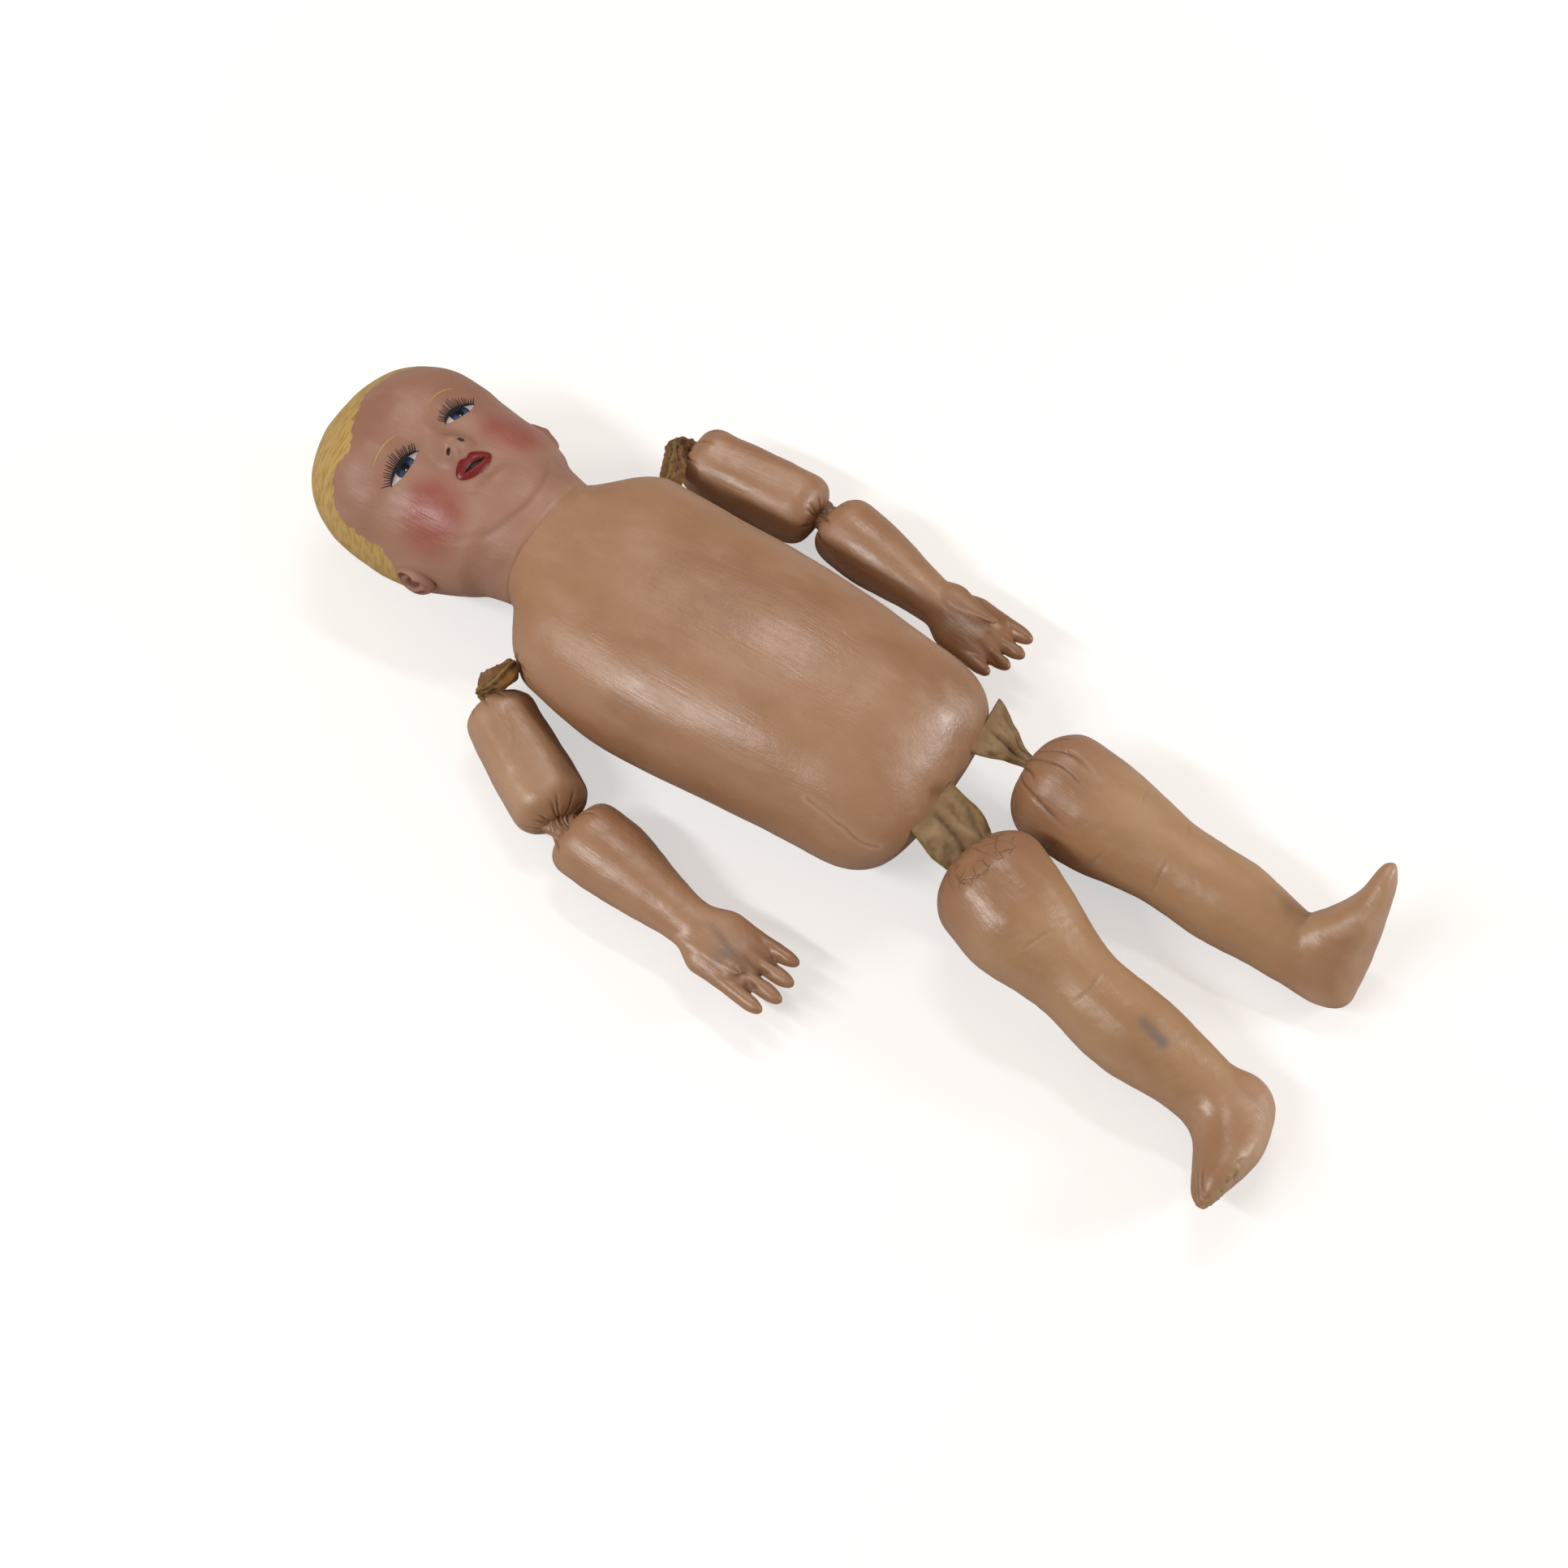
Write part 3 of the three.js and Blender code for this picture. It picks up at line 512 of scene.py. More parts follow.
def upper_arm_form():
    radius = smooth_through(
        (0, UPPER_ARM_TOP_RADIUS), (ARM_END_ROUND, UPPER_ARM_TOP_RADIUS),
        (UPPER_ARM_LENGTH - ARM_END_ROUND, UPPER_ARM_RADIUS), (UPPER_ARM_LENGTH, UPPER_ARM_RADIUS),
    )
    return limb_form(UPPER_ARM_LENGTH, ARM_END_ROUND, ARM_END_ROUND, radius)


def forearm_curve(radius, wrist, palm, knuckles, *beyond):
    """Half sizes along a forearm and its palm."""
    return smooth_through(
        (0, radius), (FOREARM_SWELL, radius), (FOREARM_LENGTH, wrist / 2),
        (FOREARM_LENGTH + PALM_LENGTH / 2, palm), (KNUCKLE_DROP, knuckles), *beyond,
    )


def forearm_form():
    width = forearm_curve(FOREARM_RADIUS, WRIST_WIDTH, PALM_WIDTH / 2, PALM_WIDTH / 2)
    depth = forearm_curve(FOREARM_RADIUS, WRIST_DEPTH, PALM_DEPTH / 2, PALM_DEPTH / 2)
    return limb_form(KNUCKLE_DROP, ARM_END_ROUND, PALM_DEPTH / 2, width, depth, end_power=3)


def leg_form(knee_bow):
    radius = smooth_through(
        (0, THIGH_RADIUS), (THIGH_DROP, THIGH_RADIUS), (KNEE_DROP, KNEE_RADIUS),
        (CALF_DROP, CALF_RADIUS), (ANKLE_DROP, ANKLE_RADIUS), (LEG_LENGTH, ANKLE_RADIUS),
    )
    bow = smooth_through((0, 0), (KNEE_DROP, knee_bow), (ANKLE_DROP, 0), (LEG_LENGTH, 0))
    form = limb_form(LEG_LENGTH - TOE_HEIGHT, LEG_END_ROUND, FOOT_END_ROUND, radius)
    form.low = lambda at: bow(at) - radius(at)
    form.high = lambda at: bow(at) + radius(at)
    return form


def foot_form():
    return Form(
        length=FOOT_LENGTH,
        heading=1,
        start_round=FOOT_END_ROUND,
        end_round=FOOT_END_ROUND,
        square=2.3,
        half_width=smooth_through(
            (0, HEEL_WIDTH / 2), (INSTEP_REACH, HEEL_WIDTH / 2),
            (BALL_REACH, BALL_WIDTH / 2), (FOOT_LENGTH, TOE_WIDTH / 2),
        ),
        low=level(0),
        high=smooth_through(
            (0, HEEL_HEIGHT), (INSTEP_REACH, INSTEP_HEIGHT),
            (BALL_REACH, BALL_HEIGHT), (FOOT_LENGTH, TOE_HEIGHT),
        ),
    )


# The dressed limbs: stuffed fuller, webs between the fingers, a slimmer toe and a fuller sole
WEB_LENGTH = 12
DRESSED_FINGER_TIP = 4.4
TOES_REACH = BALL_REACH + 16
TOES_SHARE = 0.75


def dressed_upper_arm_form(arm):
    form = upper_arm_form()
    radius = form.half_width
    form.half_width = lambda at: radius(at) + arm.upper
    form.end_power = arm.elbow_square
    form.lean = level(arm.upper_lean)
    return form


def dressed_leg_form(leg):
    form = leg_form(leg.knee_bow)
    low, high, radius = form.low, form.high, form.half_width
    above = smooth_through(
        (0, leg.thigh_above), (THIGH_DROP, leg.thigh_above), (KNEE_DROP, leg.knee_above), (CALF_DROP, 0)
    )
    below = smooth_through(
        (0, leg.thigh_below), (THIGH_DROP, leg.thigh_below), (CALF_DROP, 0), (ANKLE_DROP, leg.heel)
    )
    form.high = lambda at: high(at) + above(at)
    form.low = lambda at: low(at) - below(at)
    form.half_width = lambda at: radius(at) + (above(at) + below(at)) / 4
    return form


def dressed_forearm_form(arm):
    form = forearm_form()
    form.length += WEB_LENGTH
    lean, radius = arm.forearm_lean, FOREARM_RADIUS + arm.forearm
    width, depth = PALM_WIDTH / 2, PALM_DEPTH / 2
    form.lean = smooth_through((0, lean), (FOREARM_SWELL, lean), (FOREARM_LENGTH, 0))
    form.end_round = 6
    form.gather = 3
    form.half_width = forearm_curve(radius, WRIST_WIDTH, width + 0.5, width, (form.length, width - 2))
    form.high = forearm_curve(FOREARM_RADIUS, WRIST_DEPTH, depth + 1, depth, (form.length, FINGER_RADIUS))
    form.low = lambda at: -form.high(at)
    return form


def dressed_foot_form(leg):
    form = foot_form()
    form.length += leg.toe_reach + leg.heel
    form.gather = 2
    form.half_width = smooth_through(
        (0, HEEL_WIDTH / 2), (INSTEP_REACH, HEEL_WIDTH / 2 + 1), (BALL_REACH, BALL_WIDTH / 2 + 1),
        (TOES_REACH, TOES_SHARE * BALL_WIDTH / 2), (form.length, leg.toe_width / 2),
    )
    form.high = smooth_through(
        (0, HEEL_HEIGHT), (INSTEP_REACH, INSTEP_HEIGHT + leg.instep),
        (BALL_REACH - 2, BALL_HEIGHT + 1 + leg.instep / 2),
        (TOES_REACH, TOES_SHARE * BALL_HEIGHT), (form.length, 0.85 * leg.toe_width),
    )
    form.low = smooth_through((0, 0), (FOOT_LENGTH / 2, -leg.sole_belly), (form.length, 2))
    return form


def foot_frame(tilt):
    """The foot in the leg's own frame: sole across the end of the leg, toes to the front."""
    seat = turned("X", tilt) @ moved(0, -HEEL_BACK, -INSTEP_HEIGHT)
    return moved(0, INSTEP_HEIGHT - LEG_LENGTH, 0) @ turned("Y", 180) @ turned("X", -90) @ seat


def finger_grid(radius, tip_radius, length, rings=24, sides=20, curl=0.0, flat=1.0, point=1.6, root=1.0):
    """A finger from the origin along -Y: a taper with a round tip, curled up towards the palm.

    The point is the length of its rounded tip in tip radii, and the root is its share of full size
    at the start.
    """
    drop = np.linspace(0, 1, rings + 1) ** 0.8 * length
    taper = radius + (tip_radius - radius) * smooth_step(drop, 0, length)
    taper = taper * (root + (1 - root) * smooth_step(drop, 0, 0.45 * length))
    tip = opened_at(length - drop, point * tip_radius, 2)
    angle = ring_angles(sides)
    size = (taper * np.maximum(tip, 0.03))[:, None]
    lift = curl * (drop / length) ** 2
    x = size * np.cos(angle)
    z = size * flat * np.sin(angle) + lift[:, None]
    return np.stack([x, np.broadcast_to(-drop[:, None], x.shape), z], axis=-1)


# Where the limbs lie


def arm_frame(side):
    root, elbow = joint_place(f"shoulder_spread_{side}"), joint_place(f"elbow_bend_{side}")
    fall = (elbow - root)[2] / np.linalg.norm(elbow - root)
    return frame_at(root, SIDES[side] * ARMS[side].spread, -math.degrees(math.asin(fall)))


ARM_START = SHOULDER_STRAP_RADIUS + FIT
FOREARM_START = ELBOW_STRAP_RADIUS + FIT


def finger_grids(side, tip_radius=FINGER_TIP_RADIUS, reach=0, **settings):
    """Four fingers, the index on the outer side."""
    grids = []
    root = KNUCKLE_DROP - PALM_DEPTH
    for i, length in enumerate(FINGER_LENGTHS):
        place = SIDES[side] * ((len(FINGER_LENGTHS) - 1) / 2 - i)
        grid = finger_grid(FINGER_RADIUS, tip_radius, PALM_DEPTH + length + reach, **settings)
        seat = moved(FINGER_STEP * place, -root, 0) @ turned("Z", FINGER_FAN * place)
        grids.append(placed(grid, seat))
    return grids


def forearm_frame(side):
    whole = [forearm_form().grid(40, 40), *finger_grids(side)]
    points = np.concatenate([grid.reshape(-1, 3) for grid in whole]) - (0, FOREARM_START, 0)
    turn = SIDES[side] * ARMS[side].forearm_spread
    root = joint_place(f"elbow_bend_{side}")
    return frame_at(root, turn, resting_pitch(points, lambda pitch: frame_at(root, turn, pitch)))


def leg_start(side):
    return LEGS[side].flap_end_radius + FIT


def leg_frame(side):
    leg, sign = LEGS[side], SIDES[side]
    foot = placed(foot_form().grid(30, 40), foot_frame(leg.foot_tilt))
    whole = [leg_form(leg.knee_bow).grid(40, 40), foot]
    points = np.concatenate([grid.reshape(-1, 3) for grid in whole]) - (0, leg_start(side), 0)
    root = joint_place(f"hip_spread_{side}")

    def frame_of_pitch(pitch):
        return frame_at(root, sign * leg.spread, pitch, sign * leg.roll)

    return frame_of_pitch(resting_pitch(points, frame_of_pitch))


def flap_frame(side):
    """X along the sewn edge, -Y down the tab and Z out of its front."""
    across = -np.array(JOINTS[f"hip_fold_{side}"]["axis"], float)
    outward = np.array(JOINTS[f"hip_spread_{side}"]["axis"], float) * SIDES[side]
    matrix = np.eye(4)
    matrix[:3, 0] = across
    matrix[:3, 1] = np.cross(outward, across)
    matrix[:3, 2] = outward
    matrix[:3, 3] = joint_place(f"hip_fold_{side}")
    return matrix


# Meshes


def ring_faces(rings, sides):
    """Quads between rings of points that close on themselves."""
    ring, side = np.meshgrid(np.arange(rings - 1), np.arange(sides), indexing="ij")
    a = ring * sides + side
    b = ring * sides + (side + 1) % sides
    return np.stack([a, b, b + sides, a + sides], axis=-1).reshape(-1, 4).tolist()


def sheet_faces(rows, columns):
    row, column = np.meshgrid(np.arange(rows - 1), np.arange(columns - 1), indexing="ij")
    a = (row * columns + column).ravel()
    return np.stack([a, a + 1, a + columns + 1, a + columns], axis=-1).tolist()


def closed_grid(grid, dimple=0.0):
    """Points and faces of a tube of rings with its ends closed, drawn in by a dimple."""
    rings, sides, _ = grid.shape
    points = [grid.reshape(-1, 3)]
    faces = ring_faces(rings, sides)
    count = rings * sides
    for ring, neighbour in ((0, 1), (rings - 1, rings - 2)):
        end = grid[ring]
        middle = end.mean(0)
        inward = grid[neighbour].mean(0) - middle
        inward /= max(np.linalg.norm(inward), 1e-9)
        last = np.arange(ring * sides, ring * sides + sides)
        for share in (0.7, 0.4, 0.15):
            points.append(middle + (end - middle) * share + inward * dimple * (1 - share))
            new = np.arange(count, count + sides)
            faces += np.stack([last, np.roll(last, -1), np.roll(new, -1), new], axis=-1).tolist()
            last, count = new, count + sides
        points.append((middle + inward * dimple)[None])
        faces += [[a, b, count] for a, b in zip(last.tolist(), np.roll(last, -1).tolist())]
        count += 1
    return np.concatenate(points), faces


def linked(name, data):
    """A new object in the scene."""
    made = bpy.data.objects.new(name, data)
    bpy.context.scene.collection.objects.link(made)
    return made


def joined(parts):
    """One list of points and one of faces from several pairs of them."""
    points, faces, count = [], [], 0
    for part_points, part_faces in parts:
        points.append(part_points)
        faces += [[count + i for i in face] for face in part_faces]
        count += len(part_points)
    return np.concatenate(points), faces


def mesh_of(name, points, faces):
    mesh = bpy.data.meshes.new(name)
    mesh.from_pydata((points * MM).tolist(), [], faces)
    mesh.validate()
    return faced_out(mesh)


def faced_out(mesh):
    """Turns the faces of a closed mesh outwards and shades it smooth."""
    mesh.calc_loop_triangles()
    corners = read(mesh.loop_triangles, "vertices", 3, np.int32)
    a, b, c = places_of(mesh)[corners].transpose(1, 0, 2)
    if (a * np.cross(b, c)).sum() < 0:
        mesh.flip_normals()
    mesh.shade_smooth()
    return mesh


def read(items, key, width, kind=np.float32):
    """What all the items of a mesh keep under a key, row by row."""
    values = np.zeros(len(items) * width, kind)
    items.foreach_get(key, values)
    return values.reshape(-1, width)


def places_of(mesh):
    """Points of a mesh in millimetres."""
    return read(mesh.vertices, "co", 3).astype(float) / MM


def normals_of(mesh):
    return read(mesh.vertices, "normal", 3).astype(float)


def edges_of(mesh):
    return read(mesh.edges, "vertices", 2, np.int32)


def set_places(mesh, points):
    mesh.vertices.foreach_set("co", (points * MM).astype(np.float32).ravel())
    mesh.update()


def pushed(mesh, heights):
    """Moves each point of a mesh out along its normal."""
    set_places(mesh, places_of(mesh) + normals_of(mesh) * heights[:, None])


def fused(name, parts, voxel, smoothing):
    """One skin round several closed tubes of rings."""
    rough = linked(name, mesh_of(name, *joined(map(closed_grid, parts))))
    remesh = rough.modifiers.new("Remesh", "REMESH")
    remesh.mode = "VOXEL"
    remesh.voxel_size = voxel * MM
    soften = rough.modifiers.new("Smooth", "SMOOTH")
    soften.factor = 0.5
    soften.iterations = smoothing
    evaluated = rough.evaluated_get(bpy.context.evaluated_depsgraph_get())
    mesh = bpy.data.meshes.new_from_object(evaluated)
    bpy.data.objects.remove(rough)
    return faced_out(mesh)


def averaged(edges, values, rounds):
    """Values of points, spread evenly to their neighbours so many times."""
    count = len(values)
    shares = np.maximum(np.bincount(edges.ravel(), minlength=count), 1)
    for _ in range(rounds):
        total = np.bincount(edges[:, 0], values[edges[:, 1]], count)
        total += np.bincount(edges[:, 1], values[edges[:, 0]], count)
        values = (values + total / shares) / 2
    return values


def evened(edges, points, rounds):
    """Points drawn towards their neighbours so many times."""
    return np.stack([averaged(edges, points[:, i], rounds) for i in range(3)], axis=1)


def softened(mesh, share, rounds):
    """Evens out a mesh by so many rounds where the share is 1."""
    points = places_of(mesh)
    soft = evened(edges_of(mesh), points, rounds)
    set_places(mesh, points + (soft - points) * share[:, None])


def hollows(mesh, size):
    """How much each point lies in a hollow of about that size, from 0 to 1."""
    points, normals, edges = places_of(mesh), normals_of(mesh), edges_of(mesh)
    spacing = np.median(lengths(points[edges[:, 0]] - points[edges[:, 1]]))
    rounds = int(np.clip((size / spacing) ** 2, 2, 40))
    soft = evened(edges, points, rounds)
    return np.clip(((soft - points) * normals).sum(1) / (0.12 * size), 0, 1)


def set_values(mesh, name, values):
    mesh.attributes.new(name, "FLOAT", "POINT").data.foreach_set("value", values.astype(np.float32))


def set_vectors(mesh, name, vectors):
    attribute = mesh.attributes.new(name, "FLOAT_VECTOR", "POINT")
    attribute.data.foreach_set("vector", vectors.astype(np.float32).ravel())


class Tints:
    """Stains, paler places, painted shade and painted light on a skin, as one colour and its strength at each
    point.
    """

    def __init__(self, mesh):
        self.mesh = mesh
        self.colors = np.zeros((len(mesh.vertices), 4), np.float32)

    def add(self, color, strength):
        share = np.clip(strength, 0, 1)[:, None]
        kept = self.colors[:, 3:] * (1 - share)
        total = np.maximum(kept + share, 1e-6)
        self.colors[:, :3] = (self.colors[:, :3] * kept + np.array(color) * share) / total
        self.colors[:, 3:] = kept + share

    def store(self):
        attribute = self.mesh.attributes.new("tint", "FLOAT_COLOR", "POINT")
        attribute.data.foreach_set("color", self.colors.ravel())


def rested(mesh, matrix):
    """Presses a mesh flat where it would sink into the floor."""
    world = placed(places_of(mesh), matrix)
    world[:, 2] = np.maximum(world[:, 2], 0)
    set_places(mesh, placed(world, np.linalg.inv(matrix)))


def add_piece(name, mesh, material, matrix=None):
    piece = linked(name, mesh)
    if matrix is not None:
        rescaled = np.array(matrix, float)
        rescaled[:3, 3] *= MM
        piece.matrix_world = Matrix(rescaled)
    mesh.materials.append(material)
    return piece


def pleats(points, form, count, reach, width, seed, at_end=False):
    """Folds that run out from a gathered end, from 0 to 1."""
    rng = np.random.default_rng(seed)
    at, angle = form.spots(points)
    away = form.length - at if at_end else at
    middle = (form.low(at) + form.high(at)) / 2
    radius = np.hypot(points[:, 0] - form.lean(at), points[:, 2] - middle)
    places = 2 * np.pi * (np.arange(count) + rng.uniform(-0.3, 0.3, count)) / count
    reaches = reach * rng.uniform(0.35, 1.25, count)
    folds = np.zeros(len(points))
    for place, far in zip(places, reaches):
        bent = place + 0.05 * np.sin(away / far * 5 + place)
        apart = np.abs((angle - bent + np.pi) % (2 * np.pi) - np.pi) * radius
        narrow = width * (0.35 + 0.65 * smooth_step(away, 0, far))
        folds = np.maximum(folds, bump(apart, narrow) * (1 - smooth_step(away, 0.2 * far, far)))
    return folds


# Shader nodes: a function that starts from a socket adds to the tree that holds it

COLOR, FLOAT, VECTOR = "NodeSocketColor", "NodeSocketFloat", "NodeSocketVector"
SURFACE_OUTPUTS = {"Color": COLOR, "Roughness": FLOAT, "Normal": VECTOR}


def srgb(code):
    """A linear colour from its six hexadecimal digits."""
    values = [int(code[i : i + 2], 16) / 255 for i in (0, 2, 4)]
    return tuple(v / 12.92 if v <= 0.04045 else ((v + 0.055) / 1.055) ** 2.4 for v in values)


def node(tree, kind, inputs=None, **settings):
    """A new node, whose inputs are sockets to link to or plain values."""
    made = tree.nodes.new(kind)
    for key, value in settings.items():
        setattr(made, key, value)
    for key, value in (inputs or {}).items():
        socket = made.inputs[key]
        if isinstance(value, bpy.types.NodeSocket):
            tree.links.new(value, socket)
        else:
            socket.default_value = (*value, 1) if socket.type == "RGBA" else value
    return made


def feed(to, values):
    """Links sockets to the inputs of a node, by name."""
    for name, value in values.items():
        value.id_data.links.new(value, to.inputs[name])


def math_node(operation, a, b, clamp=False):
    made = node(a.id_data, "ShaderNodeMath", {0: a, 1: b}, operation=operation, use_clamp=clamp)
    return made.outputs[0]


def times(a, b, clamp=False):
    return math_node("MULTIPLY", a, b, clamp)


def weighted(first, *others):
    """Sum of values, each given with its weight."""
    total = times(*first)
    for value, weight in others:
        total = math_node("ADD", total, times(value, weight))
    return total


def mix_color(share, a, b):
    # A mix node keeps its colours in inputs 6 and 7 and gives their mix in output 2
    return node(share.id_data, "ShaderNodeMix", {0: share, 6: a, 7: b}, data_type="RGBA").outputs[2]


def layered(color, *layers):
    """Colours laid over the first one, each given with its share."""
    for share, over in layers:
        color = mix_color(share, color, over)
    return color


def vector_node(operation, a, b=(0, 0, 0)):
    return node(a.id_data, "ShaderNodeVectorMath", {0: a, 1: b}, operation=operation).outputs


def ramp(value, low, high, to_low=0.0, to_high=1.0):
    inputs = {"Value": value, "From Min": low, "From Max": high, "To Min": to_low, "To Max": to_high}
    made = node(value.id_data, "ShaderNodeMapRange", inputs, interpolation_type="SMOOTHSTEP")
    return made.outputs["Result"]


def noise(vector, size, detail=2.0, stretch=(1, 1, 1), distortion=0.0):
    """Noise whose features are about that many millimetres."""
    scale = [s / (size * MM) for s in stretch]
    mapping = node(vector.id_data, "ShaderNodeMapping", {"Vector": vector, "Scale": scale})
    inputs = {"Vector": mapping.outputs[0], "Scale": 1.0, "Detail": detail, "Distortion": distortion}
    return node(vector.id_data, "ShaderNodeTexNoise", inputs).outputs["Fac"]


def bumped(height, depth):
    inputs = {"Height": height, "Distance": depth * MM, "Strength": 1.0}
    return node(height.id_data, "ShaderNodeBump", inputs).outputs["Normal"]


def attribute_of(tree, name):
    return node(tree, "ShaderNodeAttribute", attribute_name=name).outputs


def object_place(tree):
    return node(tree, "ShaderNodeTexCoord").outputs["Object"]


def seen_at_once(tree):
    """1 where a ray comes straight from the camera or through something clear."""
    path = node(tree, "ShaderNodeLightPath").outputs
    return math_node("MAXIMUM", path["Is Camera Ray"], path["Is Transmission Ray"])


def new_group(name, colors, outputs):
    """A shader node group with its sockets, its colours and its output node."""
    tree = bpy.data.node_groups.new(name, "ShaderNodeTree")
    for socket in colors:
        tree.interface.new_socket(socket, in_out="INPUT", socket_type=COLOR)
    for socket, kind in outputs.items():
        tree.interface.new_socket(socket, in_out="OUTPUT", socket_type=kind)
    source = node(tree, "NodeGroupInput")
    return tree, [source.outputs[socket] for socket in colors], node(tree, "NodeGroupOutput")


def paint_group():
    """Old oil paint on cloth: mottled, brushed lengthwise, cracked where worn, and darkened in hollows by
    soiling and painted shade.
    """
    if "Oil Paint" in bpy.data.node_groups:
        return bpy.data.node_groups["Oil Paint"]
    names = ("Paint", "Deep", "Pale", "Grime", "Crack")
    tree, (paint, deep, pale, grime_and_shade, bare), sink = new_group("Oil Paint", names, SURFACE_OUTPUTS)
    place = object_place(tree)
    strokes = noise(place, 1.3, 3.0, stretch=(1, 0.05, 1))
    broad = noise(place, 65, 3.0)
    patches = noise(place, 13, 4.0, stretch=(1, 0.35, 1))
    grain = noise(place, 0.7)
    specks = noise(place, 2.6)

    bend = times(noise(place, 6, 3.0), 4 * MM)
    cell_inputs = {"Vector": vector_node("ADD", place, bend)["Vector"], "Scale": 1 / (7 * MM)}
    cells = node(tree, "ShaderNodeTexVoronoi", cell_inputs, feature="DISTANCE_TO_EDGE")
    crack_lines = ramp(cells.outputs["Distance"], 0, 0.09, 1, 0)
    crack = times(crack_lines, ramp(attribute_of(tree, "worn")["Fac"], 0.25, 0.8))
    crack = times(crack, ramp(patches, 0.4, 0.55))

    # Soiling and painted shade: the paint darkens in the hollows of the surface
    hollow_shade_and_grime = times(attribute_of(tree, "hollow")["Fac"], ramp(patches, 0.2, 0.6, 0.7, 1), clamp=True)
    tint = attribute_of(tree, "tint")
    color = layered(
        paint,
        (ramp(broad, 0.42, 0.68, 0, 0.55), deep),
        (ramp(patches, 0.5, 0.75, 0, 0.4), pale),
        (ramp(strokes, 0.5, 0.8, 0, 0.16), deep),
        (ramp(specks, 0.72, 0.8, 0, 0.3), grime_and_shade),
        (times(hollow_shade_and_grime, 0.85), grime_and_shade),
        (crack, bare),
        (times(tint["Alpha"], ramp(patches, 0.3, 0.6, 0.65, 1)), tint["Color"]),
    )
    gloss = weighted((ramp(patches, 0.35, 0.65, 0.28, 0.4), 1), (strokes, 0.12), (hollow_shade_and_grime, 0.25))
    height = weighted((strokes, 0.65), (grain, 0.3), (patches, 1.4), (specks, 0.35), (crack, -1.2))
    feed(sink, {"Color": color, "Roughness": gloss, "Normal": bumped(height, 0.22)})
    return tree


def face_group():
    """Hair, blush and lips painted over a face, and painted shade inside the nostrils and between the parted
    lips, from distances inside their outlines.
    """
    if "Face Paint" in bpy.data.node_groups:
        return bpy.data.node_groups["Face Paint"]
    names = ("Skin", "Hair", "Hair Deep", "Blush", "Lips", "Lips Deep", "Dark")
    tree, colors, sink = new_group("Face Paint", names, {"Color": COLOR, "Gloss": FLOAT})
    skin, hair_color, hair_deep, blush_color, lip_color, lip_deep, opening_shade_color = colors
    place = object_place(tree)
    ragged = noise(place, 5, 4.0)
    fine = noise(place, 1.2, 3.0)
    streaks = noise(place, 1.6, 3.0, stretch=(0.2, 1, 0.2))

    def outline(name, rough, soft):
        edge = times(math_node("SUBTRACT", ragged, 0.5), rough)
        return ramp(math_node("ADD", attribute_of(tree, name)["Fac"], edge), -soft, soft)

    blush = times(attribute_of(tree, "blush")["Fac"], ramp(ragged, 0.25, 0.75, 0.8, 1))
    hair, lips = outline("hair", 9.0, 0.35), outline("lips", 0.9, 0.25)
    color = layered(
        skin,
        (blush, blush_color),
        (hair, mix_color(ramp(streaks, 0.4, 0.7), hair_color, hair_deep)),
        (lips, mix_color(ramp(fine, 0.4, 0.7, 0, 0.7), lip_color, lip_deep)),
        (outline("dark", 0.7, 0.3), opening_shade_color),
    )
    feed(sink, {"Color": color, "Gloss": weighted((hair, 0.1), (lips, -0.08), (blush, -0.12))})
    return tree


def cloth_group():
    """Unpainted plain-weave cloth: crossed threads with painted shade between them, painted shade and soiling
    in its folds, and a yellower selvedge.
    """
    if "Plain Weave" in bpy.data.node_groups:
        return bpy.data.node_groups["Plain Weave"]
    names = ("Cloth", "Faded", "Dirt", "Selvedge")
    tree, (cloth, faded, dirt_and_shade, selvedge), sink = new_group("Plain Weave", names, SURFACE_OUTPUTS)
    place = object_place(tree)
    threads = attribute_of(tree, "weave")["Vector"]
    wave_inputs = {"Vector": threads, "Scale": 1.0, "Distortion": 0.6, "Detail": 1.0}
    warp, weft = (
        node(tree, "ShaderNodeTexWave", wave_inputs, wave_type="BANDS", bands_direction=way).outputs["Fac"]
        for way in "XY"
    )
    crossed = math_node("MAXIMUM", warp, weft)
    mottle = noise(place, 7, 4.0)
    blotch = noise(place, 2.5, 3.0)
    color = layered(
        cloth,
        (ramp(mottle, 0.35, 0.7), faded),
        (times(attribute_of(tree, "edge")["Fac"], ramp(blotch, 0.3, 0.55), clamp=True), selvedge),
        # Painted shade between the threads
        (ramp(crossed, 0.2, 0.8, 0.3, 0), dirt_and_shade),
        (ramp(blotch, 0.6, 0.8, 0, 0.2), dirt_and_shade),
        # Painted shade and soiling in the hollows of the folds
        (times(attribute_of(tree, "hollow")["Fac"], 0.9, clamp=True), dirt_and_shade),
    )
    height = bumped(weighted((crossed, 0.5), (blotch, 1)), 0.25)
    feed(sink, {"Color": color, "Roughness": ramp(mottle, 0.3, 0.7, 0.85, 0.97), "Normal": height})
    return tree


# Materials


def new_material(name, roughness=0.5, specular=0.5):
    material = bpy.data.materials.new(name)
    material.use_nodes = True
    tree = material.node_tree
    shader = tree.nodes["Principled BSDF"]
    shader.inputs["Roughness"].default_value = roughness
    shader.inputs["Specular IOR Level"].default_value = specular
    return material, tree, shader


def group_outputs(tree, group, inputs):
    return node(tree, "ShaderNodeGroup", inputs, node_tree=group).outputs


def surfaced(shader, color, roughness, normal):
    feed(shader, {"Base Color": color, "Roughness": roughness, "Normal": normal})


def skin_colors(finish):
    return {
        "Paint": finish.skin, "Deep": finish.skin_deep, "Pale": finish.skin_pale,
        "Grime": finish.grime_and_shade, "Crack": finish.crack,
    }


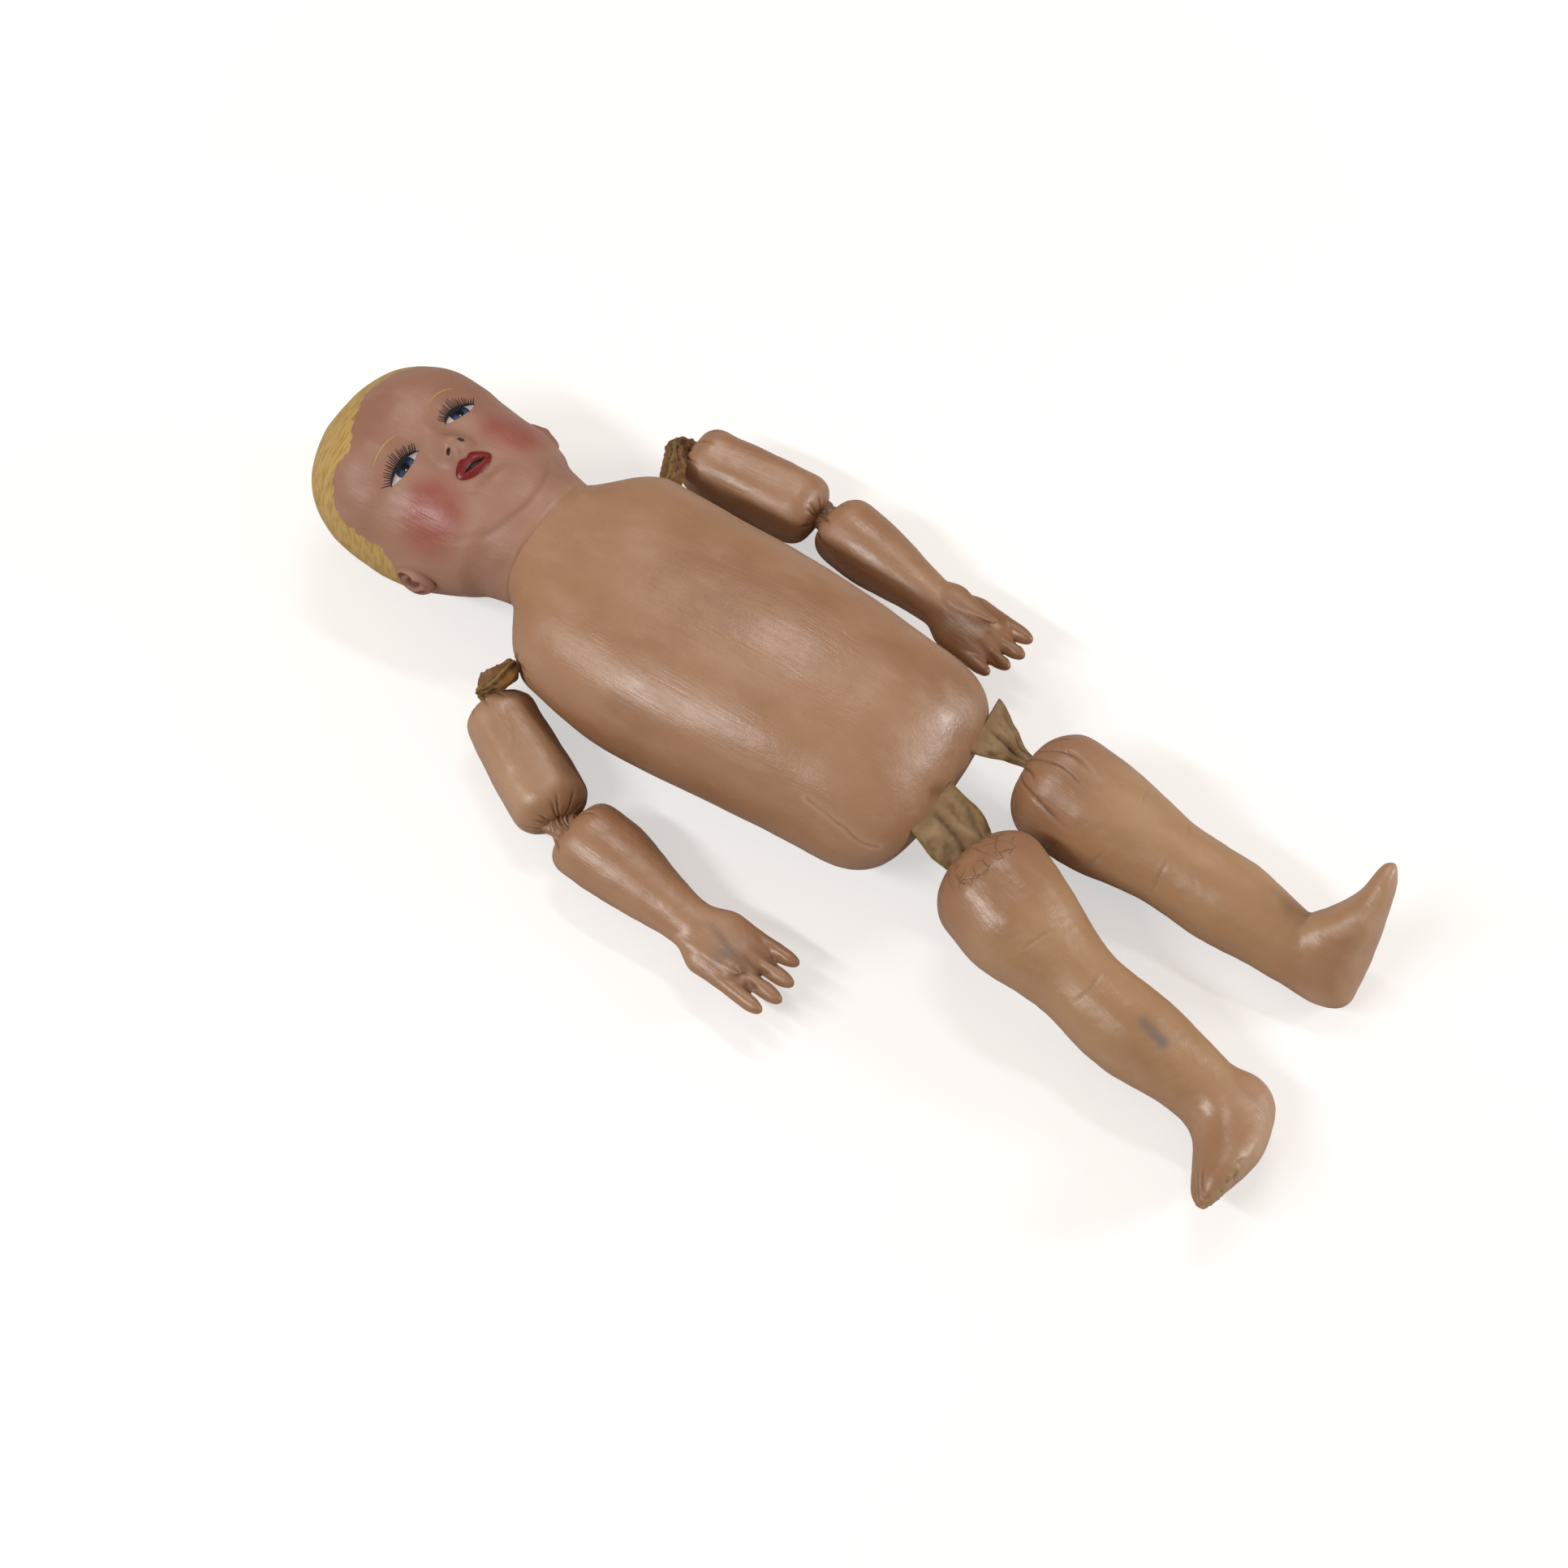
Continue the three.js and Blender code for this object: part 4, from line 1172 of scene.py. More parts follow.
def skin_material():
    if "skin_paint" in bpy.data.materials:
        return bpy.data.materials["skin_paint"]
    material, tree, shader = new_material("skin_paint", specular=0.85)
    paint = group_outputs(tree, paint_group(), skin_colors(bpy.context.scene.doll_finish))
    surfaced(shader, *paint)
    return material


def face_material():
    if "face_paint" in bpy.data.materials:
        return bpy.data.materials["face_paint"]
    face = bpy.context.scene.doll_face
    material, tree, shader = new_material("face_paint")
    colors = skin_colors(bpy.context.scene.doll_finish)
    colors.update(Paint=face.skin, Deep=face.skin_deep, Pale=face.skin_pale)
    skin, roughness, normal = group_outputs(tree, paint_group(), colors)
    features = {
        "Skin": skin, "Hair": face.hair, "Hair Deep": face.hair_deep, "Blush": face.blush,
        "Lips": face.lips, "Lips Deep": face.lips_deep, "Dark": face.dark,
    }
    color, gloss = group_outputs(tree, face_group(), features)
    roughness = math_node("ADD", math_node("ADD", roughness, gloss), face.dullness)
    surfaced(shader, color, roughness, normal)
    return material


def cloth_material(name, plain, faded):
    if name in bpy.data.materials:
        return bpy.data.materials[name]
    cloth = bpy.context.scene.doll_cloth
    material, tree, shader = new_material(name, 0.95, 0.2)
    colors = {"Cloth": plain, "Faded": faded, "Dirt": cloth.dirt_and_shade, "Selvedge": cloth.selvedge}
    surfaced(shader, *group_outputs(tree, cloth_group(), colors))
    shader.inputs["Sheen Weight"].default_value = 0.15
    return material


def cotton_material():
    if "cotton_fibre" in bpy.data.materials:
        return bpy.data.materials["cotton_fibre"]
    cloth = bpy.context.scene.doll_cloth
    material, tree, shader = new_material("cotton_fibre", 1.0, 0.1)
    place = object_place(tree)
    fibres = noise(place, 2, 6.0, stretch=(1, 0.3, 1), distortion=1.5)
    tufts = ramp(noise(place, 12, 3.0), 0.35, 0.7)
    strands = ramp(fibres, 0.45, 0.7, 0, 0.5)
    color = layered(cloth.cotton, (tufts, cloth.cotton_shade), (strands, cloth.cotton_shade))
    surfaced(shader, color, ramp(fibres, 0.3, 0.7, 0.9, 1), bumped(fibres, 0.8))
    return material


def line_material(name, color, other):
    """Painted lines: one colour that thins to another."""
    if name in bpy.data.materials:
        return bpy.data.materials[name]
    material, tree, shader = new_material(name)
    broken = noise(object_place(tree), 0.8, 3.0)
    mixed = mix_color(ramp(broken, 0.45, 0.75), color, other)
    surfaced(shader, mixed, ramp(broken, 0.3, 0.7, 0.4, 0.6), bumped(broken, 0.05))
    return material


def eye_material():
    """A painted eye, from the place of each point across and above the pupil, in millimetres."""
    if "painted_eye" in bpy.data.materials:
        return bpy.data.materials["painted_eye"]
    face = bpy.context.scene.doll_face
    iris, pupil = face.iris_size, face.pupil_size
    material, tree, shader = new_material("painted_eye", 0.3)
    place = attribute_of(tree, "eye")["Vector"]
    across, above, below_lid = node(tree, "ShaderNodeSeparateXYZ", {0: place}).outputs
    flat = node(tree, "ShaderNodeCombineXYZ", {0: across, 1: above}).outputs[0]
    away, aim = vector_node("LENGTH", flat)["Value"], vector_node("NORMALIZE", flat)["Vector"]
    rays = node(tree, "ShaderNodeTexNoise", {"Vector": aim, "Scale": 7.0, "Detail": 2.0}).outputs["Fac"]
    smudge = node(tree, "ShaderNodeTexNoise", {"Vector": flat, "Scale": 0.9, "Detail": 3.0}).outputs["Fac"]
    wobble = math_node("SUBTRACT", smudge, 0.5)
    rim = math_node("ADD", away, wobble)
    glint = vector_node("DISTANCE", flat, (face.glint_across, face.glint_above, 0))["Value"]
    iris_color = layered(
        mix_color(ramp(rays, 0.35, 0.65), face.iris, face.iris_pale),
        (ramp(rim, iris * 0.7, iris, 0, 0.75), face.lash),
        # Painted shadow of the upper lid across the top of the iris
        (ramp(below_lid, 1.2, 4.5, 0.85, 0), face.lash),
    )
    # Painted shadow of the upper lid on the white of the eye
    white = mix_color(ramp(below_lid, 0.5, 3.0, 0.55, 0), face.eye_white, face.eye_shade)
    color = layered(
        iris_color,
        (ramp(rim, iris - 0.25, iris + 0.25), white),
        (ramp(rim, pupil - 0.3, pupil + 0.3, 1, 0), face.lash),
        (ramp(math_node("ADD", glint, wobble), 0.25, 0.6, 1, 0), face.eye_white),
    )
    surfaced(shader, color, ramp(smudge, 0.3, 0.7, 0.24, 0.36), bumped(smudge, 0.06))
    return material


# The face, as heights over the front of the head


FACE_TILT = -2.5
EYE_OUT = 22.8
EYE_HALF_LENGTH = 11.2
EYE_ABOVE, EYE_BELOW = 3.0, 2.5
LID_WIDTH = 1.6
LIP_RISE, LIP_SHIFT = 44, -1.4
MOUTH_HALF_WIDTH = 11.6
MOUTH_TILT = -8
LIP_TOP, LIP_BOTTOM = 7.4, 6.0
MOUTH_GAP = 1.7
NOSTRIL_OUT, NOSTRIL_DROP = 5.0, 4.6
CHEEK_OUT, CHEEK_RISE = 34, 47
# How far the neck of the head comes down over the top of the torso, in front and at the sides
NECK_LAP = 13


def face_place(x, at):
    """Across and above the seam at the neck, straightened by the tilt of the face."""
    tilt = math.radians(FACE_TILT)
    rise = at - NOSE_RISE
    across = x * math.cos(tilt) + rise * math.sin(tilt)
    return across, NOSE_RISE + rise * math.cos(tilt) - x * math.sin(tilt)


def from_face(across, above):
    """The place on the head of a place on the straightened face."""
    tilt = math.radians(FACE_TILT)
    rise = above - NOSE_RISE
    x = across * math.cos(tilt) - rise * math.sin(tilt)
    return x, NOSE_RISE + rise * math.cos(tilt) + across * math.sin(tilt)


def mouth_place(across, above):
    """Places in the mouth's own tilt, as shares of its half width and millimetres above its middle."""
    tilt = math.radians(MOUTH_TILT)
    rise, out = above - LIP_RISE, across - LIP_SHIFT
    along = out * math.cos(tilt) + rise * math.sin(tilt)
    return along / MOUTH_HALF_WIDTH, rise * math.cos(tilt) - out * math.sin(tilt)


def lip_edges(share):
    """Upper edge, parting and lower edge of the lips, in millimetres above the mouth's middle."""
    inside = np.clip(1 - share**2, 0, None)
    bow = 1 - 0.26 * bump(share, 0.2)
    upper = LIP_TOP * inside**0.7 * bow
    parting = -0.6 + 0.5 * bump(share, 0.3)
    lower = -LIP_BOTTOM * inside**0.6
    return upper, parting, lower


def lip_distances(across, above):
    """Millimetres inside the lips' outline, and inside the gap between them."""
    share, height = mouth_place(across, above)
    upper, parting, lower = lip_edges(share)
    ends = (1 - np.abs(share)) * MOUTH_HALF_WIDTH
    inside = np.minimum(np.minimum(upper - height, height - lower), ends)
    gap = MOUTH_GAP * np.clip(1 - (share / 0.72) ** 2, -1, 1) - np.abs(height - parting)
    return inside, gap


def nostril_distance(across, above):
    rise = above - (NOSE_RISE - NOSTRIL_DROP)
    out = np.abs(across) - NOSTRIL_OUT + 0.4 * rise
    return 1.6 - np.hypot(out, rise / 0.8)


def eye_opening(along):
    """Upper and lower lid above the eye's middle, for shares of its half length towards the temple."""
    inside = np.clip(1 - along**2, 0, None)
    upper = EYE_ABOVE * inside**0.75 * (1 - 0.12 * along)
    lower = -EYE_BELOW * inside**0.85 * (1 + 0.18 * along)
    return upper, lower


def face_relief(x, at):
    across, above = face_place(x, at)

    def mound(u, v, wide, tall):
        return bump(across - u, wide) * bump(above - v, tall)

    def pair(u, v, wide, tall):
        return bump(np.abs(across) - u, wide) * bump(above - v, tall)

    nose = 9.4 * mound(0, NOSE_RISE - 1, 7.6, 7.8) + 2.6 * pair(6.2, NOSE_RISE - 4.5, 4.2, 4.2)
    bridge = 2.6 * mound(0, EYE_RISE, 7, 11)
    nostrils = 1.4 * smooth_step(nostril_distance(across, above), -0.4, 1.2)
    sockets = 2.9 * pair(EYE_OUT, EYE_RISE + 2, 12.5, 6.5)
    balls = 2.3 * pair(EYE_OUT, EYE_RISE - 1, 9.5, 5.8)
    brows = 1.1 * pair(EYE_OUT, EYE_RISE + 13, 14, 6)
    cheeks = 5.4 * pair(CHEEK_OUT - 1, CHEEK_RISE + 1, 16, 15)
    muzzle = 3.2 * mound(LIP_SHIFT, LIP_RISE + 1, 15, 11)
    chin = 4.2 * mound(0, CHIN_RISE + 4, 12, 7)
    under_lip = 1.2 * mound(LIP_SHIFT, LIP_RISE - 9.5, 9, 2.8)
    jowl = 3.4 * mound(0, NECK_LENGTH - 1, 36, 11)
    between = 0.8 * mound(0, EYE_RISE + 1, 34, 15)
    philtrum = 0.6 * mound(LIP_SHIFT, LIP_RISE + 10, 1.8, 2.6)
    inside, gap = lip_distances(across, above)
    lips = 1.9 * np.sqrt(np.clip(inside, 0, 3.4) / 3.4)
    parted = 2.2 * smooth_step(gap, -0.5, 0.9)
    raised = nose + bridge + balls + brows + cheeks + muzzle + chin + jowl + between + lips
    return raised - nostrils - sockets - under_lip - philtrum - parted


HAIR_CENTRE = (0, 68, 50)
HAIR_AXIS = (0, 0.6, -0.8)
HAIR_RADIUS = 60
# How far the hair comes forward at angles round its axis, 0 over the forehead and positive to the left
HAIR_LINE = (
    (-180, 0.28), (-130, 0.2), (-105, 0.1), (-95, -0.06), (-84, -0.1), (-72, 0.0),
    (-58, 0.06), (-45, 0.0), (-27, -0.17), (-10, -0.06), (10, 0.02), (35, -0.02),
    (55, 0.0), (75, 0.0), (92, -0.08), (110, 0.12), (180, 0.28),
)


def hair_distance(points):
    """Millimetres inside the painted hairline."""
    aim = unit(points - HAIR_CENTRE)
    axis = np.array(HAIR_AXIS)
    forward = np.cross((1, 0, 0), axis)
    around = np.degrees(np.arctan2(aim[:, 0], aim @ forward))
    return (aim @ axis - smooth_through(*HAIR_LINE)(around)) * HAIR_RADIUS


# Settings


def tone(name, description, code):
    return FloatVectorProperty(
        name=name, description=description, subtype="COLOR", size=3, min=0, max=1, default=srgb(code)
    )


def length_setting(name, description, default):
    return FloatProperty(name=name, description=description, default=default * MM, unit="LENGTH", precision=4)


def number(name, description, default, unit="NONE"):
    return FloatProperty(name=name, description=description, default=default, unit=unit)


class DollFinish(bpy.types.PropertyGroup):
    """Colours of the painted skin and how uneven the stuffing leaves it."""

    skin: tone("Skin", "Oil paint on the body and limbs", "ad8668")
    skin_deep: tone("Deep skin", "Paint that has darkened", "93694a")
    skin_pale: tone("Pale skin", "Paint that has faded", "ba987c")
    # This colour also paints shade in hollows, creases, grooves and where parts meet
    grime_and_shade: tone("Grime", "Dirt in creases and gathers", "54321b")
    crack: tone("Crack", "Cloth that shows through cracked paint", "665026")
    # This colour also paints light that makes the legs paler
    skin_aged_and_lit: tone("Aged skin", "Yellowed paint of the legs", "bb9972")
    # This colour also paints light on the soles and heels and on the torso's pale places
    sole: tone("Sole", "Paler paint under the feet", "d3b199")
    ridge: tone("Ridge", "Yellowed edge between sole and foot", "b09a63")
    stain: tone("Stain", "Grey stains where the paint has rubbed off", "7d7470")
    lump: length_setting("Lumps", "How far the stuffing stands uneven", 0.55)
    pleat: length_setting("Pleats", "Depth of the folds at a gathered end", 1.5)


class DollFace(bpy.types.PropertyGroup):
    """Colours of the painted face and the size of its eyes."""

    skin: tone("Skin", "Paint of the face", "a67e6c")
    skin_deep: tone("Deep skin", "Face paint that has darkened", "946955")
    skin_pale: tone("Pale skin", "Face paint that has faded", "b08d7e")
    blush: tone("Blush", "Rosy paint on the cheeks", "9d5a51")
    hair: tone("Hair", "Painted hair", "c2a364")
    hair_deep: tone("Deep hair", "Streaks in the painted hair", "a7894b")
    lips: tone("Lips", "Painted lips", "811f22")
    lips_deep: tone("Deep lips", "Darker strokes on the lips", "611617")
    # Painted shade inside the nostrils and between the parted lips
    dark: tone("Dark", "Nostrils and the gap between the lips", "38130f")
    # This colour also paints the shadow of the upper lid across the iris
    lash: tone("Lashes", "Lid lines, lashes and pupils", "0f0f18")
    lash_thin: tone("Thin lashes", "Lashes where their paint is thin", "22212c")
    brow: tone("Brows", "Painted brows", "b08f62")
    iris: tone("Iris", "Painted iris", "243657")
    iris_pale: tone("Pale iris", "Lighter strokes in the iris", "40598a")
    eye_white: tone("Eye white", "White of the eye and its glint", "c2bab8")
    eye_shade: tone("Eye shade", "White of the eye under the lid", "77707a")
    dullness: number("Dullness", "How much rougher the face is than the body", 0.08)
    iris_size: number("Iris", "Radius of the iris in millimetres", 6.0)
    pupil_size: number("Pupil", "Radius of the pupil in millimetres", 2.3)
    glint_across: number("Glint across", "Place of the glint beside the pupil", -1.2)
    glint_above: number("Glint above", "Place of the glint over the pupil", -1.5)


class DollCloth(bpy.types.PropertyGroup):
    """Colours of the unpainted cloth and the cotton."""

    strap: tone("Strap", "Cloth of the shoulder straps", "8a5c2a")
    strap_faded: tone("Faded strap", "Rubbed cloth of the shoulder straps", "a47b42")
    flap: tone("Flap", "Cloth of the hip flaps", "b3946c")
    flap_faded: tone("Faded flap", "Rubbed cloth of the hip flaps", "c6aa84")
    selvedge: tone("Selvedge", "Yellowed edge of the cloth", "a08645")
    # This colour also paints shade between the threads and in the folds
    dirt_and_shade: tone("Dirt", "Dirt in the folds of the cloth", "4a3216")
    cotton: tone("Cotton", "Stuffing", "d9cfb8")
    cotton_shade: tone("Cotton shade", "Stuffing between its tufts", "b3a588")
    crumple: length_setting("Crumple", "How far the cloth stands in folds", 1.3)


class DollStage(bpy.types.PropertyGroup):
    """Lamps and floor of the studio."""

    key_power: number("Key lamp", "Lamp over the left of the picture", 23, "POWER")
    back_power: number("Back lamp", "Lamp over the top of the picture", 9, "POWER")
    side_power: number("Side lamp", "Lamp at the right of the picture", 18, "POWER")
    lamp_distance: number("Lamp distance", "From each lamp to the doll", 2.2, "LENGTH")
    fill: number("Fill", "Light from all round", 0.39)
    fill_tone: tone("Fill tone", "Colour of the light from all round", "ffe2c8")
    gleam: number("Gleam", "Surroundings as they show in gloss", 0.06)
    floor: tone("Floor", "Floor under the doll", "c4c4c4")
    floor_lift: number("Floor lift", "Keeps the floor white in the picture", 0.55)


# Operators


def stored(mesh, tints, worn, dirt_and_shade=1.0):
    """Keeps on a skin what its paint needs to know."""
    tints.store()
    set_values(mesh, "worn", worn)
    # How far each point lies in a hollow, where the paint darkens with soiling and painted shade
    set_values(mesh, "hollow", dirt_and_shade * hollows(mesh, 3.0))


def add_skin(name, mesh, matrix, body, *nodes, fill=0.85):
    rested(mesh, matrix)
    piece = add_piece(name, mesh, skin_material(), matrix)
    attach(piece, body)
    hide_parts(*nodes)
    return piece


def uneven(points, seed, depth):
    """Broad, small and fine lumps of the stuffing."""
    small, fine = lumps(points, 17, seed + 1), lumps(points, 6, seed + 2)
    return depth * (lumps(points, 55, seed) + 0.35 * small + 0.12 * fine)


TORSO_FRAME = moved(0, NECK_SEAM_Y, 0)
HEAD_FRAME = moved(HEAD_SHIFT, NECK_SEAM_Y + FIT, 0)
# How far the turns of the torso's outline are rounded off
TORSO_HEIGHT_EASE, TORSO_WIDTH_EASE = 26, 10


class DOLL_OT_torso(bpy.types.Operator):
    """Make the painted cover of the torso"""

    bl_idname = "doll.torso"
    bl_label = "Torso"

    # The crack over the hip and the torn edge under it, and the two pale places where the legs start: worn
    # paint with a painted highlight
    crack_spots = (148, 208), (151, 230), (160, 248)
    torn_spots = (104, 255), (100, 257)
    worn_and_highlight_places = (-29, -126, 62), (4, -128, 66)

    def execute(self, context):
        finish = context.scene.doll_finish
        form = torso_form()
        form.high = eased(form.high, TORSO_HEIGHT_EASE)
        form.half_width = eased(form.half_width, TORSO_WIDTH_EASE)
        form.gather = 1
        mesh = mesh_of("torso_skin", *closed_grid(form.grid(190, 260)))
        points = places_of(mesh)
        heights = uneven(points, 11, 0.5 * finish.lump / MM)
        tints = Tints(mesh)
        for side in SIDES:
            root = joint_place(f"shoulder_swing_{side}") - TORSO_FRAME[:3, 3]
            away = lengths(points - root)
            around = np.arctan2(points[:, 2] - root[2], points[:, 1] - root[1])
            puckers = np.cos(9 * around + 2 * lumps(points, 14, 5))
            heights += -4.0 * bump(away, 8.5) + 0.7 * puckers * bump(away - 9, 6)
            # Soiling and painted shade in the dimple where each strap pulls in
            tints.add(finish.grime_and_shade, 0.6 * bump(away, 6.5))
        crack = form.path(*self.crack_spots)
        heights += 0.35 * crease(points, crack + lumps(crack, 9, 6)[:, None], 0.9)
        tints.add(finish.skin_pale, 0.7 * bump(distance_to(points, crack) - 1.6, 1.2))
        # Worn paint with a painted highlight at each pale place
        for place in self.worn_and_highlight_places:
            away = lengths(points + TORSO_FRAME[:3, 3] - place)
            tints.add(finish.sole, 0.3 * bump(away, 9) * smooth_step(lumps(points, 8, 7), -0.4, 0.5))
        torn = form.path(*self.torn_spots)
        tints.add(finish.crack, 0.6 * bump(distance_to(points, torn), 4))
        pushed(mesh, heights)
        stored(mesh, tints, np.zeros(len(points)))
        add_skin("torso_skin", mesh, TORSO_FRAME, "torso", "torso_cover")
        return {"FINISHED"}


class DOLL_OT_head(bpy.types.Operator):
    """Make the moulded and painted head"""

    bl_idname = "doll.head"
    bl_label = "Head"

    # The fold under the chin and the creases of mouth, chin and temple: places, depth and width
    fold_lines = (
        (((-38, 29), (-26, 16), (0, 8), (20, 13), (36, 27)), 0.9, 2.2),
        (((-18, 38), (-12, 31)), 0.35, 1.4),
        (((-9, 30), (-2, 33), (5, 31)), 0.3, 1.2),
        (((-43, 73), (-39, 61)), 0.4, 2.2),
    )

    def execute(self, context):
        form = dressed_head_form()
        grid = form.grid(250, 360, crowd=0.0, front_crowd=0.5)
        at = grid[..., 1].copy()
        middle, _, half_depth = form.section(at)
        upward = np.clip((grid[..., 2] - middle) / half_depth, -1, 1)
        grid[..., 2] += face_relief(grid[..., 0], at) * np.clip(upward, 0, 1) ** 2
        self.lap_neck(grid, at, upward)
        mesh = mesh_of("head_skin", *closed_grid(grid))
        points = places_of(mesh)
        across, above = face_place(points[:, 0], points[:, 1])
        front = smooth_step(points[:, 2], 55, 68)
        heights = 0.4 * lumps(points, 45, 21) + 0.12 * lumps(points, 12, 22)
        for spots, depth, width in self.fold_lines:
            line = np.stack(smooth_line(spots), axis=-1)
            reach = 0.45 * np.linalg.norm(line[-1] - line[0])
            fade = bump(lengths(points[:, :2] - line.mean(0)), reach)
            heights -= depth * fade * front * bump(distance_to(points[:, :2], line), width)
        pushed(mesh, heights)
        inside, gap = lip_distances(across, above)
        off_face = 20 * (1 - front)
        set_values(mesh, "lips", inside - off_face)
        # Painted shade inside the nostrils and between the parted lips
        set_values(mesh, "dark", np.maximum(gap, nostril_distance(across, above)) - off_face)
        set_values(mesh, "hair", hair_distance(points))
        blush = np.hypot((np.abs(across) - CHEEK_OUT) / 17.5, (above - CHEEK_RISE) / 18)
        set_values(mesh, "blush", 0.95 * front * (1 - smooth_step(blush, 0.55, 1.35)))
        tints = Tints(mesh)
        finish = context.scene.doll_finish
        tints.add(finish.skin_pale, 0.5 * (1 - smooth_step(points[:, 1], -6, 8)))
        tints.add(finish.skin, 0.9 * (1 - smooth_step(points[:, 1], -NECK_LAP + 1, -NECK_LAP + 4)))
        stored(mesh, tints, np.zeros(len(points)), dirt_and_shade=0.4)
        rested(mesh, HEAD_FRAME)
        piece = add_piece("head_skin", mesh, face_material(), HEAD_FRAME)
        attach(piece, "torso")
        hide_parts("head_cover")
        return {"FINISHED"}

    def lap_neck(self, grid, at, upward):
        """Draws the neck down over the top of the torso, where it ends in a raised edge."""
        spots = grid.reshape(-1, 3)
        lap = (NECK_LAP + 0.7 * lumps(spots, 16, 23).reshape(at.shape)) * smooth_step(upward, -0.7, 0.1)
        grid[..., 1] -= lap * (1 - smooth_step(at, 0, 20))
        torso = torso_form()
        drop = np.clip(-grid[..., 1], 0, None)
        angle = np.arctan2(grid[..., 2] - NECK_LIFT - NECK_DEPTH / 2, grid[..., 0])
        edge = -1.4 + 2.0 * smooth_step(lap - drop, 0, 3)
        on_torso = torso.points(drop, angle, edge)
        below = smooth_step(drop, 0, 5)
        grid[..., 0] += (on_torso[..., 0] - HEAD_SHIFT - grid[..., 0]) * below
        grid[..., 2] += (on_torso[..., 2] - grid[..., 2]) * below


class Surface:
    """The front of the finished head, to lay paint on."""

    def __init__(self, piece):
        mesh = piece.data
        polygons = [tuple(polygon.vertices) for polygon in mesh.polygons]
        self.tree = BVHTree.FromPolygons([v.co for v in mesh.vertices], polygons)

    def on(self, across, above, lift):
        """Points that stand so far off the head at places on its straightened face."""
        x, at = from_face(np.asarray(across, float), np.asarray(above, float))
        found = []
        for px, py, up in zip(x.ravel(), at.ravel(), np.broadcast_to(lift, x.shape).ravel()):
            place, normal, _, _ = self.tree.ray_cast(Vector((px, py, 300)) * MM, Vector((0, 0, -1)))
            found.append(np.array(place) / MM + np.array(normal) * up)
        return np.array(found).reshape(*x.shape, 3)


def stroke_grid(surface, across, above, width, lift):
    """A painted stroke along a line of places, as wide as given at each of them."""
    line = np.stack([across, above], axis=-1)
    along = unit(np.gradient(line, axis=0))
    beside = np.stack([-along[:, 1], along[:, 0]], axis=-1)
    offsets = np.array([-0.5, 0.0, 0.5])
    spots = line[:, None] + beside[:, None] * (offsets[None, :] * width[:, None])[..., None]
    return surface.on(spots[..., 0], spots[..., 1], lift)


def strokes_mesh(name, grids):
    points, faces = joined((grid.reshape(-1, 3), sheet_faces(*grid.shape[:2])) for grid in grids)
    mesh = bpy.data.meshes.new(name)
    mesh.from_pydata((points * MM).tolist(), [], faces)
    mesh.update()
    if np.mean([polygon.normal.z for polygon in mesh.polygons]) < 0:
        mesh.flip_normals()
    mesh.shade_smooth()
    return mesh


class DOLL_OT_eyes(bpy.types.Operator):
    """Paint the eyes, lashes and brows on the head"""

    bl_idname = "doll.eyes"
    bl_label = "Eyes and brows"

    lash_count = 24
    lash_length = 5.2

    def execute(self, context):
        face = context.scene.doll_face
        surface = Surface(bpy.data.objects["head_skin"])
        lashes = line_material("painted_lash", face.lash, face.lash_thin)
        brows = line_material("painted_brow", face.brow, face.hair)
        for side, sign in SIDES.items():
            self.add_painted(self.eye_mesh(f"eye_{side}", surface, sign), eye_material())
            self.add_painted(strokes_mesh(f"lashes_{side}", self.lash_grids(surface, sign)), lashes)
            self.add_painted(strokes_mesh(f"brow_{side}", [self.brow_grid(surface, sign)]), brows)
        return {"FINISHED"}

    def add_painted(self, mesh, material):
        piece = add_piece(mesh.name, mesh, material, HEAD_FRAME)
        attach(piece, "torso")

    def eye_mesh(self, name, surface, sign):
        along, height = np.meshgrid(np.linspace(-1, 1, 61), np.linspace(0, 1, 25), indexing="ij")
        upper, lower = eye_opening(along)
        above = lower + height * (upper - lower)
        across = sign * (EYE_OUT + along * EYE_HALF_LENGTH)
        middle = np.clip(1 - along**2, 0, None) ** 0.5 * np.clip(4 * height * (1 - height), 0, None) ** 0.5
        points = surface.on(across, EYE_RISE + above, 0.05 + 0.5 * middle)
        mesh = strokes_mesh(name, [points])
        places = np.stack([across - sign * (EYE_OUT - 0.5), above + 0.2, upper - above], axis=-1)
        set_vectors(mesh, "eye", places)
        return mesh

    def lash_grids(self, surface, sign):
        along = np.linspace(-1.06, 1.05, 41)
        upper, _ = eye_opening(along)
        width = 0.4 + LID_WIDTH * np.clip(1 - along**2, 0, None) ** 0.5
        height = EYE_RISE + upper + 0.35 * width
        lid = stroke_grid(surface, sign * (EYE_OUT + along * EYE_HALF_LENGTH), height, width, 0.25)
        grids = [lid]
        rng = np.random.default_rng(31)
        t = np.linspace(0, 1, 7)
        for share in np.linspace(-0.95, 1.0, self.lash_count):
            root, _ = eye_opening(np.array(share))
            lean = 0.75 * share + rng.uniform(-0.12, 0.12)
            length = self.lash_length * (0.75 + 0.35 * bump(share - 0.1, 0.6)) * rng.uniform(0.8, 1.1)
            out = EYE_OUT + share * EYE_HALF_LENGTH + length * (lean * t + 0.18 * lean * t**2)
            up = EYE_RISE + root + 0.5 * LID_WIDTH + length * t * (1 - 0.25 * abs(lean))
            grids.append(stroke_grid(surface, sign * out, up, 0.62 * (1 - 0.7 * t), 0.2))
        return grids

    def brow_grid(self, surface, sign):
        along = np.linspace(-1, 1, 31)
        out = EYE_OUT + 0.5 + 10.5 * along
        up = EYE_RISE + 12.3 + 1.9 * (1 - along**2)
        return stroke_grid(surface, sign * out, up, 0.35 + 0.75 * (1 - along**2), 0.15)


